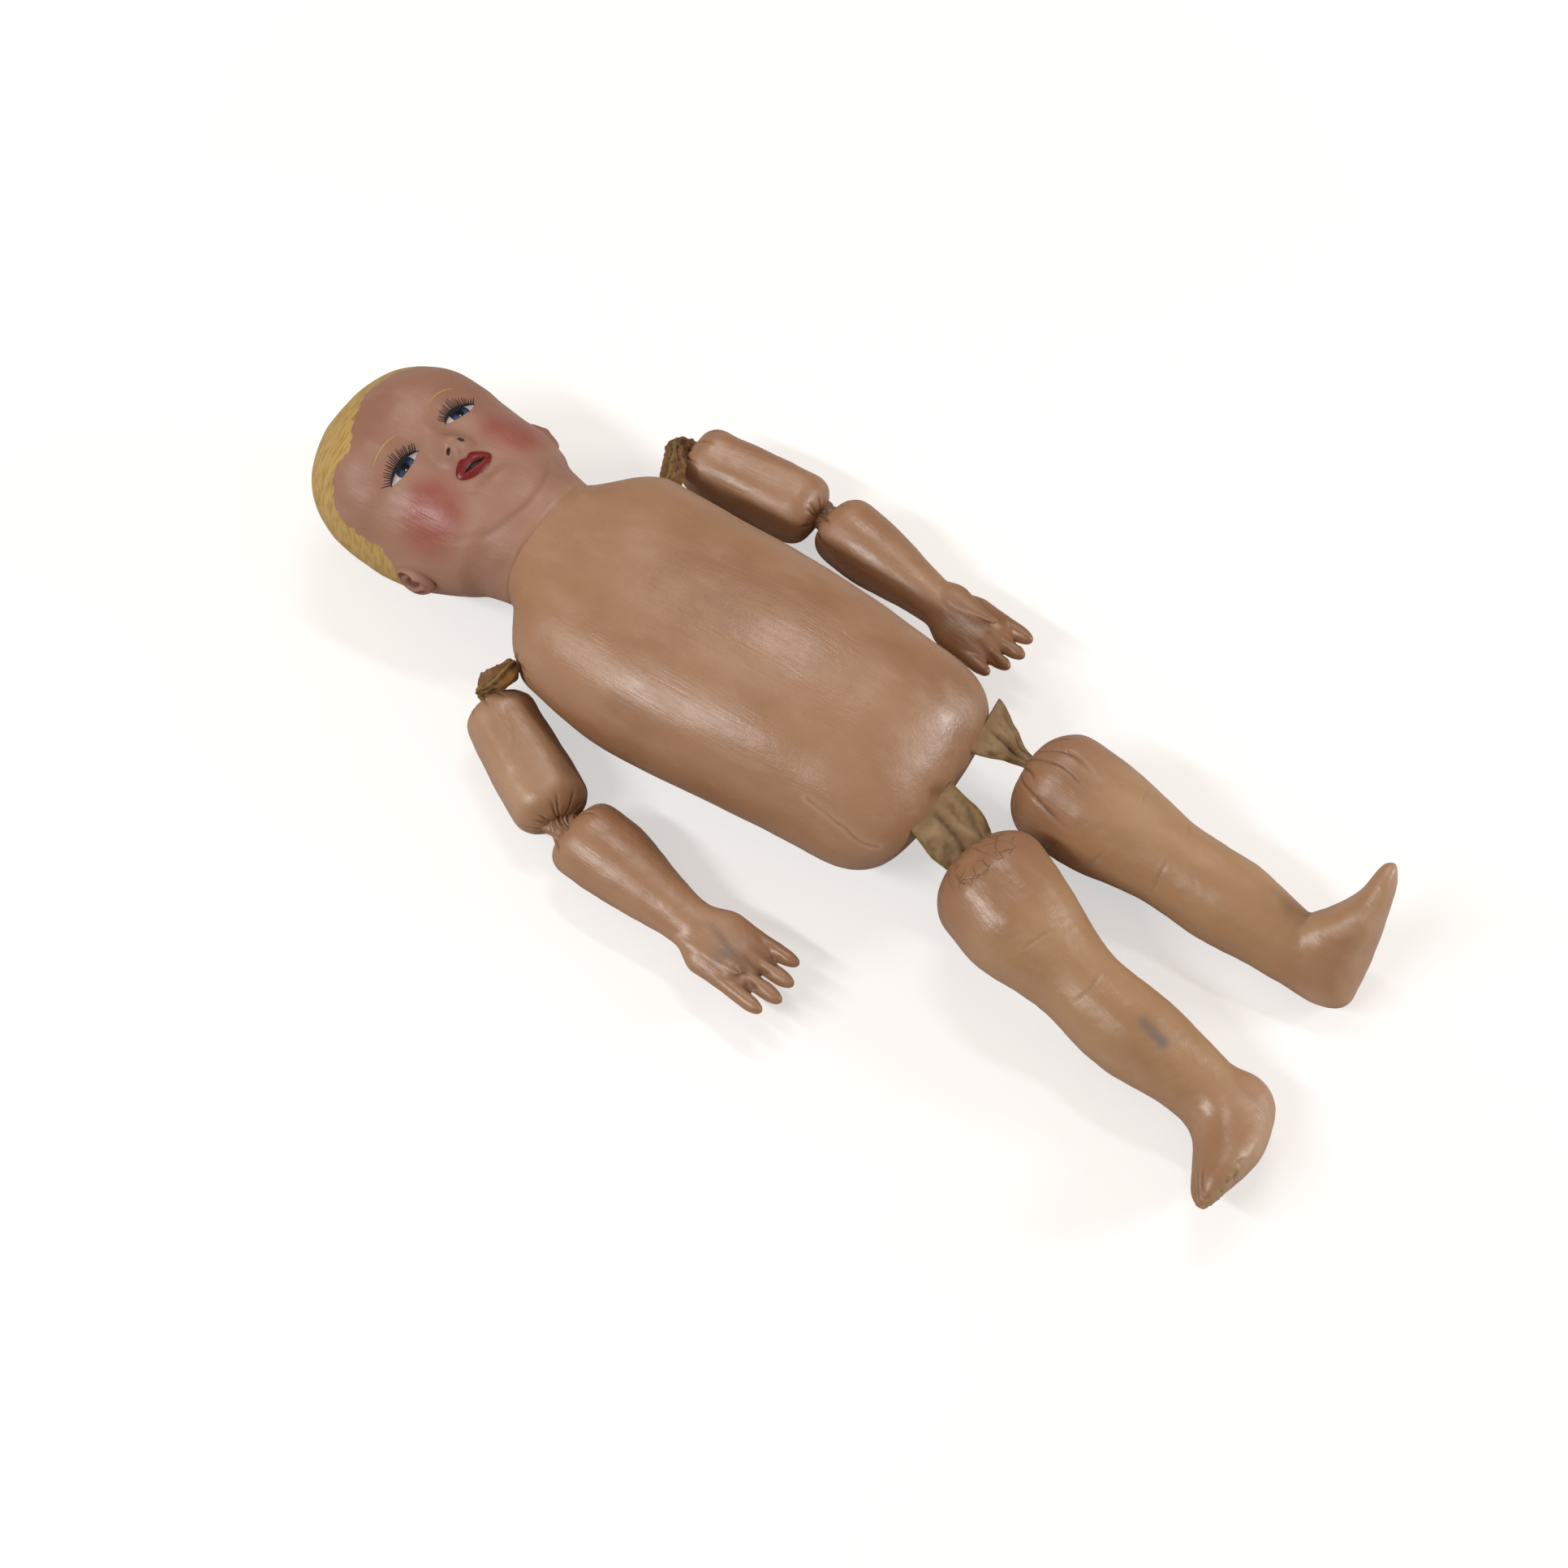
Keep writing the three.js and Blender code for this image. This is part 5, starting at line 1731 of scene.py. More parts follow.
class DOLL_OT_ears(bpy.types.Operator):
    """Make the two applied ears"""

    bl_idname = "doll.ears"
    bl_label = "Ears"

    def execute(self, context):
        for side, sign in SIDES.items():
            mesh = self.ear_mesh(f"ear_skin_{side}", sign)
            piece = add_piece(f"ear_skin_{side}", mesh, face_material(), HEAD_FRAME)
            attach(piece, "torso")
            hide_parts(f"ear_{side}")
        return {"FINISHED"}

    def ear_mesh(self, name, sign):
        """A shell with a rolled rim, a bowl, an inner ridge and a lobe."""
        polar = np.linspace(0.02, np.pi - 0.02, 60)[:, None]
        turn = ring_angles(72)[None, :]
        out = np.cos(polar) + 0 * turn
        up = np.sin(polar) * np.cos(turn)
        back = np.sin(polar) * np.sin(turn)
        reach = np.hypot(up, back)
        rim = 1.6 * bump(reach - 0.86, 0.13) * (1 - 0.6 * bump(up + 1, 0.5))
        bowl = 4.4 * bump(reach, 0.5) * (1 - 0.4 * bump(up + 0.75, 0.3))
        ridge = 2.2 * bump(np.hypot(up - 0.1, back + 0.15) - 0.42, 0.12) * smooth_step(-back, -0.2, 0.4)
        tragus = 2.4 * bump(np.hypot(up + 0.1, back - 0.62), 0.2)
        stand = out * EAR_STAND * 0.55 + (out > 0) * (rim - bowl + ridge + tragus)
        x = sign * (CHEEK_WIDTH / 2 - 0.5 + stand + 2.0 * np.clip(-back, 0, 1))
        y = EAR_RISE + up * EAR_LENGTH / 2 * (1 + 0.08 * np.sign(up))
        z = EAR_HEIGHT + back * EAR_DEPTH / 2 * (1 - 0.25 * np.clip(-up, 0, 1))
        mesh = mesh_of(name, *closed_grid(np.stack([x, y + 0 * x, z + 0 * x], axis=-1)))
        tints = Tints(mesh)
        points = places_of(mesh)
        for value in ("lips", "dark", "hair"):
            set_values(mesh, value, np.full(len(points), -9.0))
        set_values(mesh, "blush", np.full(len(points), 0.15))
        rise = (points[:, 1] - EAR_RISE) * 2 / EAR_LENGTH
        behind = (points[:, 2] - EAR_HEIGHT) * 2 / EAR_DEPTH
        groove = bump(np.hypot(rise, behind) - 0.66, 0.12) + bump(np.hypot(rise + 0.1, behind - 0.1), 0.25)
        outside = smooth_step(sign * points[:, 0], CHEEK_WIDTH / 2, CHEEK_WIDTH / 2 + 2)
        # Soiling and painted shade in the grooves of the ear; its hollows are darkened more than elsewhere
        tints.add(bpy.context.scene.doll_finish.grime_and_shade, 0.6 * np.clip(groove, 0, 1) * outside)
        stored(mesh, tints, np.zeros(len(points)), dirt_and_shade=1.6)
        return mesh


class DOLL_OT_upper_arms(bpy.types.Operator):
    """Make the painted covers of the upper arms"""

    bl_idname = "doll.upper_arms"
    bl_label = "Upper arms"

    def execute(self, context):
        for side in SIDES:
            self.add_upper_arm(context.scene.doll_finish, side)
        return {"FINISHED"}

    def add_upper_arm(self, finish, side):
        form = dressed_upper_arm_form(ARMS[side])
        seed = 40 + SIDES[side]
        name = f"upper_arm_skin_{side}"
        mesh = mesh_of(name, *closed_grid(form.grid(110, 150), dimple=2.5))
        points = places_of(mesh)
        at, angle = form.spots(points)
        top = pleats(points, form, count=13, reach=15, width=1.3, seed=seed)
        bottom = pleats(points, form, count=14, reach=9, width=1.3, seed=seed + 5, at_end=True)
        folds = 0.6 * np.maximum(top, bottom)
        middle = smooth_step(np.minimum(at, form.length - at), 4, 22)
        facets = 0.55 * np.cos(5 * angle + 0.8 + 0.4 * np.sin(at / 20)) * middle
        heights = uneven(points, seed, finish.lump / MM) + facets - folds * finish.pleat / MM
        pushed(mesh, heights)
        ends = 1 - smooth_step(np.minimum(at, form.length - at), 2, 16)
        tints = Tints(mesh)
        tints.add(finish.skin_deep, 0.35 * ends)
        # Painted light: the right upper arm is painted paler away from its ends
        if side == "right":
            tints.add(finish.skin_pale, 0.5 * (1 - ends))
        stored(mesh, tints, 0.2 * ends)
        matrix = arm_frame(side) @ moved(0, -ARM_START, 0)
        add_skin(name, mesh, matrix, f"upper_arm_{side}", f"upper_arm_cover_{side}")


class DOLL_OT_forearms(bpy.types.Operator):
    """Make the painted forearms with their hands"""

    bl_idname = "doll.forearms"
    bl_label = "Forearms"

    def execute(self, context):
        for side, sign in SIDES.items():
            self.add_forearm(context.scene.doll_finish, side, sign)
        return {"FINISHED"}

    def add_forearm(self, finish, side, sign):
        arm = ARMS[side]
        form = dressed_forearm_form(arm)
        seed = 60 + sign
        name = f"forearm_skin_{side}"
        fingers = finger_grids(side, DRESSED_FINGER_TIP, arm.finger, curl=2.0, point=2.6)
        parts = [form.grid(70, 60), *fingers, self.thumb_grid(side)]
        mesh = fused(name, parts, voxel=0.75, smoothing=6)
        points = places_of(mesh)
        at, _ = form.spots(points)
        palm = smooth_step(at, FOREARM_LENGTH - 14, FOREARM_LENGTH - 4)
        palm *= 1 - smooth_step(at, FOREARM_LENGTH + 10, FOREARM_LENGTH + 22)
        softened(mesh, palm, rounds=14)
        points = places_of(mesh)
        folds = pleats(points, form, count=9, reach=15, width=1.5, seed=seed)
        heights = 0.8 * uneven(points, seed, finish.lump / MM) - folds * finish.pleat / MM
        tints = Tints(mesh)
        groove_start = KNUCKLE_DROP + 3
        # Grooves between the fingers, darkened with soiling and painted shade
        for root in sign * FINGER_STEP * np.arange(-1, 2):
            groove = [(0.85 * root, -groove_start, 9), (root, -groove_start - WEB_LENGTH, 4)]
            lines = bump(distance_to(points, np.array(groove)), 2.2)
            heights -= 1.3 * lines
            tints.add(finish.grime_and_shade, 0.75 * lines**2)
        pushed(mesh, heights)
        ends = 1 - smooth_step(at, 2, 16)
        tints.add(finish.skin_deep, 0.5 * ends)
        # Painted shade darkens the hand from the wrist to the knuckles
        tints.add(finish.skin_deep, THUMBS[side].shade * smooth_step(at, FOREARM_LENGTH, KNUCKLE_DROP))
        self.mark_thumb(side, points, tints, finish)
        stored(mesh, tints, 0.5 * ends)
        matrix = forearm_frame(side) @ turned("Z", arm.forearm_turn) @ moved(0, -FOREARM_START, 0)
        add_skin(name, mesh, matrix, f"forearm_{side}", f"forearm_cover_{side}", f"thumb_{side}")

    def thumb_frame(self, side):
        seat = THUMBS[side]
        return moved(SIDES[side] * seat.out, -seat.drop, seat.lift) @ turned("Z", -SIDES[side] * seat.turn)

    def thumb_grid(self, side):
        seat, tip_radius = THUMBS[side], 0.6 * THUMB_TIP_RADIUS
        grid = finger_grid(seat.base, tip_radius, seat.length, flat=0.62, curl=5.0, root=0.35)
        return placed(grid, self.thumb_frame(side))

    def mark_thumb(self, side, points, tints, finish):
        """A pale chip at the thumb's tip, soiling and painted shade along its inner edge, painted shade over
        the left palm and a rubbed stain on the right one.
        """
        seat = THUMBS[side]
        local = placed(points, np.linalg.inv(self.thumb_frame(side)))
        down = -local[:, 1]
        on_palm = smooth_step(points[:, 2], -2, 3)
        tip = lengths(local + (0, seat.length - 2, -1.5))
        along = smooth_step(down, 14, 24) * (1 - smooth_step(down, seat.length - 3, seat.length + 3))
        inner_edge = seat.base * (1 - 0.6 * smooth_step(down, 15, seat.length))
        edge = bump(SIDES[side] * local[:, 0] + inner_edge, 2.0) * along * on_palm
        # Soiling and painted shade along the thumb's inner edge
        tints.add(finish.grime_and_shade, seat.dirt_and_shade * edge)
        # Painted shade over the left palm
        if side == "left":
            tints.add(finish.skin_deep, 0.6 * on_palm * smooth_step(down, 5, 20))
        else:
            rubbed = lengths(local + (-2, 0.72 * seat.length, -6))
            tints.add(finish.stain, 0.8 * bump(rubbed, 7) * smooth_step(lumps(points, 7, 66), -0.5, 0.6))
        tints.add(finish.sole, 0.8 * bump(tip, 2.2))


class DOLL_OT_legs(bpy.types.Operator):
    """Make the painted legs with their feet"""

    bl_idname = "doll.legs"
    bl_label = "Legs"

    # The scuff on the right shin, and the grooves between its toes in millimetres across the foot
    scuff_spots = (22, 124), (27, 137)
    toe_grooves = -7, -2.5, 2, 6.5

    def execute(self, context):
        for side, sign in SIDES.items():
            self.add_leg(context.scene.doll_finish, side, sign)
        return {"FINISHED"}

    def add_leg(self, finish, side, sign):
        leg = LEGS[side]
        seed = 80 + sign
        name = f"leg_skin_{side}"
        form = dressed_leg_form(leg)
        foot_seat = foot_frame(leg.foot_tilt - leg.toe_drop)
        foot = placed(dressed_foot_form(leg).grid(60, 60), foot_seat @ moved(0, -leg.heel, 0))
        mesh = fused(name, [form.grid(80, 70), foot], voxel=1.0, smoothing=6)
        ankle = -places_of(mesh)[:, 1] - (LEG_LENGTH - 42)
        softened(mesh, smooth_step(ankle, 0, 12) * (1 - 0.8 * smooth_step(ankle, 32, 46)), rounds=190)
        points = places_of(mesh)
        at, angle = form.spots(points)
        folds = pleats(points, form, leg.pleats, leg.pleat_reach, width=1.5, seed=seed)
        heights = uneven(points, seed, finish.lump / MM) - folds * leg.pleat_depth * finish.pleat / MM
        for spots in LEG_CREASES[side]:
            path = form.path(*spots)
            reach = np.linalg.norm(path[-1] - path[0]) / 2
            fade = bump(lengths(points - path[len(path) // 2]), reach)
            heights += leg.crease_depth * fade * crease(points, path, 0.9)
        local = placed(points, np.linalg.inv(foot_seat))
        tints = Tints(mesh)
        # Yellowed paint along the leg, also painted paler as painted light
        tints.add(finish.skin_aged_and_lit, 0.55 * smooth_step(at, 20, 60) * (1 - 0.7 * smooth_step(at, 150, 185)))
        below = smooth_step(-points[:, 1], LEG_LENGTH - 45, LEG_LENGTH - 32)
        over_sole = local[:, 2] - 8 + 1.3 * lumps(points, 16, seed + 7) + leg.sole_belly
        forward = smooth_step(local[:, 1], 22, 50)
        ridge = bump(over_sole, 2.0) * below * forward
        heights += 0.5 * ridge
        heel = (1 - smooth_step(local[:, 1], 3, 20)) * (1 - smooth_step(local[:, 2], 18, 30))
        # Paler paint under the foot, with painted light lifting the sole and heel
        tints.add(finish.sole, 0.4 * np.maximum(1 - smooth_step(over_sole, -3, 8), 0.8 * heel) * below)
        tints.add(finish.ridge, 0.5 * ridge * smooth_step(lumps(points, 9, seed + 8), -0.6, 0.5))
        if side == "right":
            heights += self.mark_right(points, local, form, tints, finish)
        pushed(mesh, heights)
        tints.add(finish.skin_deep, 0.6 * (1 - smooth_step(at, 4, 48)))
        worn = smooth_step(np.cos(angle - math.radians(20)), 0.5, 0.9) * (1 - smooth_step(at, 14, 26))
        stored(mesh, tints, worn if side == "right" else 0 * worn)
        matrix = leg_frame(side) @ moved(0, -leg_start(side), 0)
        add_skin(name, mesh, matrix, f"leg_{side}", f"leg_cover_{side}")

    def mark_right(self, points, local, form, tints, finish):
        """The scuff on the shin, the drawn toes darkened along their grooves, and the torn, soiled edge along
        the front of the sole; returns their heights.
        """
        scuff = form.path(*self.scuff_spots)
        tints.add(finish.stain, 0.9 * bump(distance_to(points, scuff), 3.2))
        heights = np.zeros(len(points))
        at_toes = smooth_step(local[:, 1], FOOT_LENGTH - 18, FOOT_LENGTH - 6) * smooth_step(local[:, 2], 3, 7)
        for place in self.toe_grooves:
            spread = 1.25 - 0.6 * smooth_step(local[:, 1], FOOT_LENGTH - 26, FOOT_LENGTH + 2)
            line = bump(local[:, 0] - place * spread, 1.0) * at_toes
            heights -= 0.8 * line
            tints.add(finish.grime_and_shade, 0.25 * line)
        torn = bump(local[:, 2] - 3 - 1.5 * lumps(points, 5, 88), 1.2) * smooth_step(local[:, 1], 45, 60)
        heights += 0.9 * torn * lumps(points, 3, 89)
        tints.add(finish.ridge, 0.7 * torn)
        tints.add(finish.grime_and_shade, 0.5 * torn * smooth_step(lumps(points, 4, 90), 0, 0.8))
        return heights


class DOLL_OT_stuffing(bpy.types.Operator):
    """Make the cotton stuffing inside the covers"""

    bl_idname = "doll.stuffing"
    bl_label = "Stuffing"

    # How far the cotton stays inside its cover, and how far it stands uneven
    gap, unevenness = 2.6, 0.5

    def execute(self, context):
        inner = -SKIN - FIT
        torso, head = torso_form(), head_form()
        self.add("torso", [torso.grid(24, 32, inner)], TORSO_FRAME, "torso")
        self.add("head", [head.grid(24, 32, inner - 5)], HEAD_FRAME, "torso")
        for side in SIDES:
            leg = LEGS[side]
            foot_seat = foot_frame(leg.foot_tilt - leg.toe_drop) @ moved(0, -leg.heel, 0)
            foot = placed(dressed_foot_form(leg).grid(24, 24, inner), foot_seat)
            leg_grids = [leg_form(leg.knee_bow).grid(24, 24, inner), foot]
            forearm_seat = forearm_frame(side) @ turned("Z", ARMS[side].forearm_turn)
            limbs = {
                "upper_arm": ([upper_arm_form().grid(20, 24, inner)], arm_frame(side), ARM_START),
                "forearm": ([forearm_form().grid(20, 24, inner)], forearm_seat, FOREARM_START),
                "leg": (leg_grids, leg_frame(side), leg_start(side)),
            }
            for limb, (grids, matrix, start) in limbs.items():
                self.add(limb, grids, matrix @ moved(0, -start, 0), f"{limb}_{side}", f"_{side}")
        return {"FINISHED"}

    def add(self, part, grids, matrix, body, suffix=""):
        name = f"{part}_cotton{suffix}"
        mesh = fused(name, grids, voxel=3.0, smoothing=3)
        points = places_of(mesh)
        pushed(mesh, -self.gap + self.unevenness * lumps(points, 14, 7))
        rested(mesh, matrix)
        piece = add_piece(name, mesh, cotton_material(), matrix)
        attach(piece, body)
        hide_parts(f"{part}_stuffing{suffix}")


def bezier(a, b, c, d, t):
    t = t[:, None]
    return (1 - t) ** 3 * a + 3 * (1 - t) ** 2 * t * b + 3 * (1 - t) * t**2 * c + t**3 * d


def tube_grid(line, radii, sides):
    """Rings of points round a line; radii gives each ring's size at each angle."""
    along = unit(np.gradient(line, axis=0))
    first = np.cross(along[0], (0, 0, 1))
    if np.linalg.norm(first) < 0.1:
        first = np.cross(along[0], (0, 1, 0))
    angle = ring_angles(sides)
    rings, across = [], first
    for place, aim, radius in zip(line, along, radii):
        across = across - aim * (across @ aim)
        across = across / np.linalg.norm(across)
        up = np.cross(across, aim)
        ring = np.cos(angle)[:, None] * across + np.sin(angle)[:, None] * up
        rings.append(place + ring * radius[:, None])
    return np.array(rings)


def set_weave(mesh, across, along, pitch):
    """Keeps the cloth's own directions, counted in threads."""
    flat = np.stack([across / pitch, along / pitch, 0 * across], axis=-1)
    set_vectors(mesh, "weave", flat)


THREAD_PITCH = 0.45


class DOLL_OT_shoulder_straps(bpy.types.Operator):
    """Make the crumpled cloth tubes that carry the arms"""

    bl_idname = "doll.shoulder_straps"
    bl_label = "Shoulder straps"

    rings, sides = 64, 96

    def execute(self, context):
        for side, sign in SIDES.items():
            self.add_strap(context.scene.doll_cloth, side, sign)
        return {"FINISHED"}

    def add_strap(self, cloth, side, sign):
        crumple = cloth.crumple / MM
        root, hinge = joint_place(f"shoulder_swing_{side}"), joint_place(f"shoulder_spread_{side}")
        leaving = np.array([sign * STRAP_BEND_LENGTH, 0, 0])
        arriving = arm_frame(side)[:3, 1] * STRAP_BEND_LENGTH
        t = np.linspace(0, 1, self.rings)
        line = bezier(root, root + leaving, hinge + arriving, hinge, t)
        inward = -leaving / STRAP_BEND_LENGTH
        into_arm = -arriving / STRAP_BEND_LENGTH
        before = root + inward * np.linspace(6, 0.4, 10)[:, None]
        after = hinge + into_arm * np.linspace(0.4, 7, 10)[:, None]
        line = np.concatenate([before, line, after])
        along = np.concatenate([[0], np.cumsum(lengths(np.diff(line, axis=0)))])
        ring, turn = np.meshgrid(along, ring_angles(self.sides), indexing="ij")
        spots = np.stack([ring, 6 * np.cos(turn), 6 * np.sin(turn)], axis=-1).reshape(-1, 3)
        wander = 0.9 * lumps(spots, 18, 90 + sign).reshape(ring.shape)
        folds = np.abs(np.sin(2 * turn + wander)) + 0.6 * np.abs(np.sin(3 * turn - 1.6 * wander + 1))
        wrinkles = np.abs(np.sin(ring / 2.6 + 2 * wander)) * smooth_step(np.cos(turn - 4.4), 0, 0.8)
        small = 0.22 * lumps(spots, 5, 95 + sign).reshape(ring.shape)
        radii = SHOULDER_STRAP_RADIUS * (0.95 + 0.15 * np.cos(2 * turn))
        radii = radii + crumple * (1.1 - 1.1 * folds + 0.5 * wrinkles + small)
        seam = bump(turn - 1.9 + 0.15 * np.sin(ring / 4), 0.2)
        radii = radii + (1.2 + 0.5 * np.sin(ring * 1.7)) * seam
        ends = smooth_step(np.minimum(along, along[-1] - along), 0, 7)
        radii = radii * (0.72 + 0.28 * ends[:, None])
        grid = tube_grid(line, radii, self.sides)
        mesh = mesh_of(f"strap_{side}", grid.reshape(-1, 3), ring_faces(*grid.shape[:2]))
        set_weave(mesh, (turn * SHOULDER_STRAP_RADIUS).ravel(), ring.ravel(), THREAD_PITCH)
        set_values(mesh, "edge", seam.ravel())
        # How far each point lies in a fold's hollow, where the cloth gets painted shade and soiling
        set_values(mesh, "hollow", hollows(mesh, 2.0))
        weave = cloth_material("strap_weave", cloth.strap, cloth.strap_faded)
        piece = add_piece(f"strap_{side}", mesh, weave)
        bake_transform(piece)
        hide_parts(f"shoulder_strap_{side}")


class DOLL_OT_elbow_straps(bpy.types.Operator):
    """Make the gathered cloth between the upper arms and forearms"""

    bl_idname = "doll.elbow_straps"
    bl_label = "Elbow straps"

    rings, sides = 40, 72

    def execute(self, context):
        for side, sign in SIDES.items():
            self.add_gather(context.scene.doll_finish, side, sign)
        return {"FINISHED"}

    def add_gather(self, finish, side, sign):
        arm, forearm = arm_frame(side), forearm_frame(side)
        elbow = joint_place(f"elbow_bend_{side}")
        start = placed(np.array([[0, -ARM_START - UPPER_ARM_LENGTH + 3, 0]]), arm)[0]
        end = placed(np.array([[0, -FOREARM_START - 3, 0]]), forearm)[0]
        t = np.linspace(0, 1, self.rings)
        line = bezier(start, (start + elbow) / 2, (elbow + end) / 2, end, t)
        ring, turn = np.meshgrid(t, ring_angles(self.sides), indexing="ij")
        flare = np.abs(2 * ring - 1)
        wide, thick = 8.5 + 2.0 * flare, 3.0 + 1.5 * flare
        oval = 1 / np.hypot(np.cos(turn) / wide, np.sin(turn) / thick)
        puckers = 0.7 * np.cos(11 * turn + 3 * np.sin(4 * ring + sign)) + 0.4 * np.cos(5 * turn + 9 * ring)
        grid = tube_grid(line, oval + puckers, self.sides)
        mesh = mesh_of(f"elbow_gather_{side}", *closed_grid(grid))
        tints = Tints(mesh)
        tints.add(finish.skin_deep, np.full(len(mesh.vertices), 0.7))
        stored(mesh, tints, np.zeros(len(mesh.vertices)))
        piece = add_piece(f"elbow_gather_{side}", mesh, skin_material())
        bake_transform(piece)
        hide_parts(f"elbow_strap_{side}")


# Half widths of the hip flaps at shares of the way down to the legs
FLAP_HALF_WIDTHS = {
    "left": ((0.45, 10.5), (0.8, 4.5), (1, 3.4)),
    "right": ((0.5, 18.5), (0.85, 16.5), (1, 13)),
}


class DOLL_OT_hip_flaps(bpy.types.Operator):
    """Make the creased cloth tabs that carry the legs"""

    bl_idname = "doll.hip_flaps"
    bl_label = "Hip flaps"

    thickness = 1.1
    # The long folds: place across as a share of the half width, depth and slant
    folds = (-0.6, 0.9, 0.3), (-0.15, -1.2, -0.25), (0.25, 1.1, 0.2), (0.65, -0.8, -0.3)

    def execute(self, context):
        for side, sign in SIDES.items():
            self.add_flap(context.scene.doll_cloth, side, sign)
        return {"FINISHED"}

    def add_flap(self, cloth, side, sign):
        end_radius = LEGS[side].flap_end_radius
        matrix = flap_frame(side)
        rows, columns = 90, 90
        down, across = np.meshgrid(np.linspace(0, 1, rows), np.linspace(-1, 1, columns), indexing="ij")
        reach = HIP_FLAP_LENGTH + 6
        half = smooth_through((0, HIP_FLAP_WIDTH / 2), *FLAP_HALF_WIDTHS[side])(down)
        x = across * half
        y = 3 - down * (reach + 0.3 * end_radius * across**2)
        spots = np.stack([x, y, 0 * x], axis=-1).reshape(-1, 3)
        z = (0.8 * lumps(spots, 14, 125 + sign) + 0.12 * lumps(spots, 6, 126 + sign)).reshape(x.shape)
        for place, depth, slant in self.folds:
            bent = across - place - slant * (down - 0.6) - 0.08 * np.sin(5 * down + 9 * place)
            z = z + depth * bump(bent, 0.15)
        z = cloth.crumple / MM * z * smooth_step(down, 0, 0.3)
        z = z + 2.0 * (1 - across**2) * smooth_step(down, 0.3, 1)
        middle = np.stack([x, y, z], axis=-1)
        top = middle + (0, 0, self.thickness / 2)
        bottom = middle - (0, 0, self.thickness / 2)
        grid = np.concatenate([top, bottom[:, ::-1]], axis=1)
        mesh = mesh_of(f"flap_{side}", *closed_grid(grid))
        flat = np.concatenate([grid.reshape(-1, 3), np.zeros((len(mesh.vertices) - grid.size // 3, 3))])
        set_weave(mesh, flat[:, 0], flat[:, 1], THREAD_PITCH)
        border = np.concatenate([np.abs(across), np.abs(across)[:, ::-1]], axis=1).ravel()
        border = np.concatenate([border, np.ones(len(mesh.vertices) - len(border))])
        set_values(mesh, "edge", smooth_step(border, 0.86, 0.98))
        # How far each point lies in a fold's hollow, where the cloth gets painted shade and soiling
        set_values(mesh, "hollow", 0.7 * hollows(mesh, 2.0))
        weave = cloth_material("flap_weave", cloth.flap, cloth.flap_faded)
        piece = add_piece(f"flap_{side}", mesh, weave, matrix)
        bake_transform(piece)
        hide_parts(f"hip_flap_{side}")


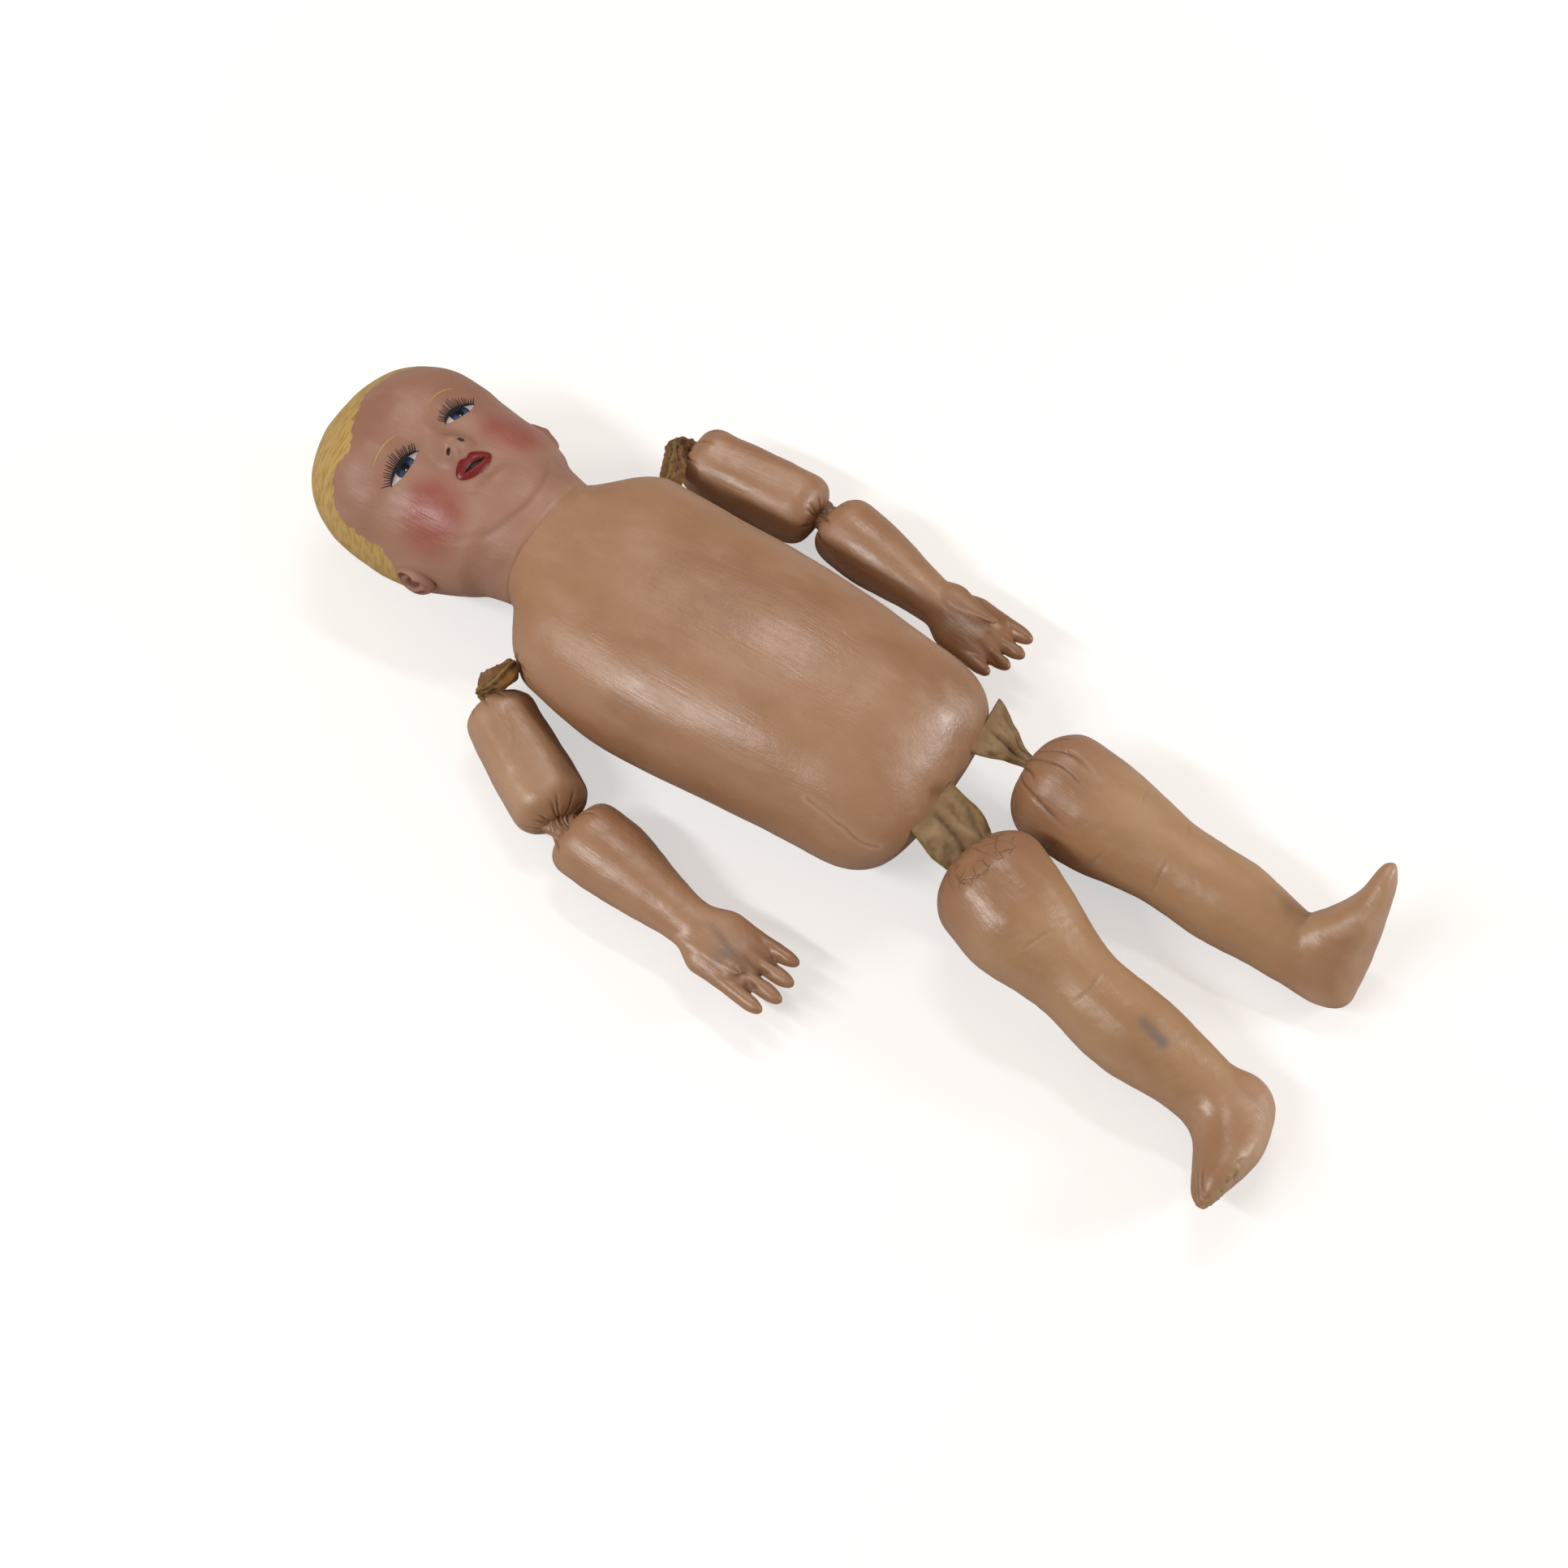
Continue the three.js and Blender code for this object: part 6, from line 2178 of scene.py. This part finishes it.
class DOLL_OT_stage(bpy.types.Operator):
    """Make the camera, the lamps and the floor"""

    bl_idname = "doll.stage"
    bl_label = "Stage"

    # Where each lamp stands from the doll, and its width and length
    key_lamp = (-0.6, 0.38, 0.7), 0.16, 1.4
    back_lamp = (0.45, 0.22, 0.87), 0.14, 1.0
    side_lamp = (0.55, -0.76, 0.35), 0.6, 0.6
    # The floor's edge in metres, and how far it lies under the doll in millimetres
    floor_size, floor_drop = 12, 0.5

    def execute(self, context):
        scene, stage = context.scene, context.scene.doll_stage
        scene.view_settings.view_transform = "Standard"
        self.add_camera(scene)
        self.add_lamp("key_lamp", stage.key_power, stage.lamp_distance, *self.key_lamp)
        self.add_lamp("back_lamp", stage.back_power, stage.lamp_distance, *self.back_lamp)
        self.add_lamp("side_lamp", stage.side_power, stage.lamp_distance, *self.side_lamp)
        self.add_world(scene, stage)
        self.add_floor(stage)
        return {"FINISHED"}

    def add_camera(self, scene):
        data = bpy.data.cameras.new("photo_camera")
        data.sensor_width = SENSOR_WIDTH
        data.lens = SENSOR_WIDTH / 2 / math.tan(math.radians(CAMERA_FIELD / 2))
        camera = linked("photo_camera", data)
        azimuth, elevation = math.radians(CAMERA_AZIMUTH), math.radians(CAMERA_ELEVATION)
        level_part = math.cos(elevation)
        back = Vector((math.sin(azimuth) * level_part, -math.cos(azimuth) * level_part, math.sin(elevation)))
        camera.location = (Vector(CAMERA_TARGET) + back * CAMERA_DISTANCE) * MM
        camera.rotation_euler = (-back).to_track_quat("-Z", "Y").to_euler()
        scene.camera = camera

    def add_lamp(self, name, power, distance, direction, width, length):
        """A soft strip of light whose length runs along the doll."""
        data = bpy.data.lights.new(name, "AREA")
        data.shape = "RECTANGLE"
        data.size, data.size_y = width, length
        data.energy = power
        lamp = linked(name, data)
        aim = Vector(direction).normalized()
        along = (Vector((0, 1, 0)) - aim * aim.y).normalized()
        lamp.location = Vector(CAMERA_TARGET) * MM + aim * distance
        lamp.rotation_euler = Matrix((along.cross(aim), along, aim)).transposed().to_euler()

    def add_world(self, scene, stage):
        world = bpy.data.worlds.new("studio")
        world.use_nodes = True
        tree = world.node_tree
        seen = seen_at_once(tree)
        glossy = node(tree, "ShaderNodeLightPath").outputs["Is Glossy Ray"]
        strength = math_node("MAXIMUM", ramp(glossy, 0, 1, stage.fill, stage.gleam), seen)
        color = mix_color(seen, stage.fill_tone, (1, 1, 1))
        feed(tree.nodes["Background"], {"Color": color, "Strength": strength})
        scene.world = world

    def add_floor(self, stage):
        half = self.floor_size / 2
        mesh = bpy.data.meshes.new("floor")
        corners = [(-half, -half, 0), (half, -half, 0), (half, half, 0), (-half, half, 0)]
        mesh.from_pydata(corners, [], [(0, 1, 2, 3)])
        floor = linked("floor", mesh)
        floor.location.z = -self.floor_drop * MM
        material, tree, shader = new_material("pale_floor", 0.9, 0.2)
        shader.inputs["Base Color"].default_value = (*stage.floor, 1)
        shader.inputs["Emission Color"].default_value = (1, 1, 1, 1)
        away = vector_node("LENGTH", object_place(tree))["Value"]
        lift = times(seen_at_once(tree), ramp(away, 0.5, 1.6, stage.floor_lift, 1.1))
        feed(shader, {"Emission Strength": lift})
        mesh.materials.append(material)


OPERATORS = (
    DOLL_OT_stage,
    DOLL_OT_torso,
    DOLL_OT_head,
    DOLL_OT_eyes,
    DOLL_OT_ears,
    DOLL_OT_upper_arms,
    DOLL_OT_forearms,
    DOLL_OT_legs,
    DOLL_OT_stuffing,
    DOLL_OT_shoulder_straps,
    DOLL_OT_elbow_straps,
    DOLL_OT_hip_flaps,
)
SETTINGS = {
    "doll_finish": DollFinish,
    "doll_face": DollFace,
    "doll_cloth": DollCloth,
    "doll_stage": DollStage,
}


class DOLL_PT_panel(bpy.types.Panel):
    """Lists the doll's pieces in the sidebar"""

    bl_label = "Training Doll"
    bl_idname = "DOLL_PT_panel"
    bl_space_type = "VIEW_3D"
    bl_region_type = "UI"
    bl_category = "Doll"

    def draw(self, context):
        for operator in OPERATORS:
            self.layout.operator(operator.bl_idname)


def register():
    for kind in (*SETTINGS.values(), *OPERATORS, DOLL_PT_panel):
        bpy.utils.register_class(kind)
    for name, kind in SETTINGS.items():
        setattr(bpy.types.Scene, name, PointerProperty(type=kind))


def unregister():
    for name in SETTINGS:
        delattr(bpy.types.Scene, name)
    for kind in (DOLL_PT_panel, *reversed(OPERATORS), *SETTINGS.values()):
        bpy.utils.unregister_class(kind)


def main():
    register()
    for operator in OPERATORS:
        group, name = operator.bl_idname.split(".")
        getattr(getattr(bpy.ops, group), name)()


if __name__ == "__main__":
    main()
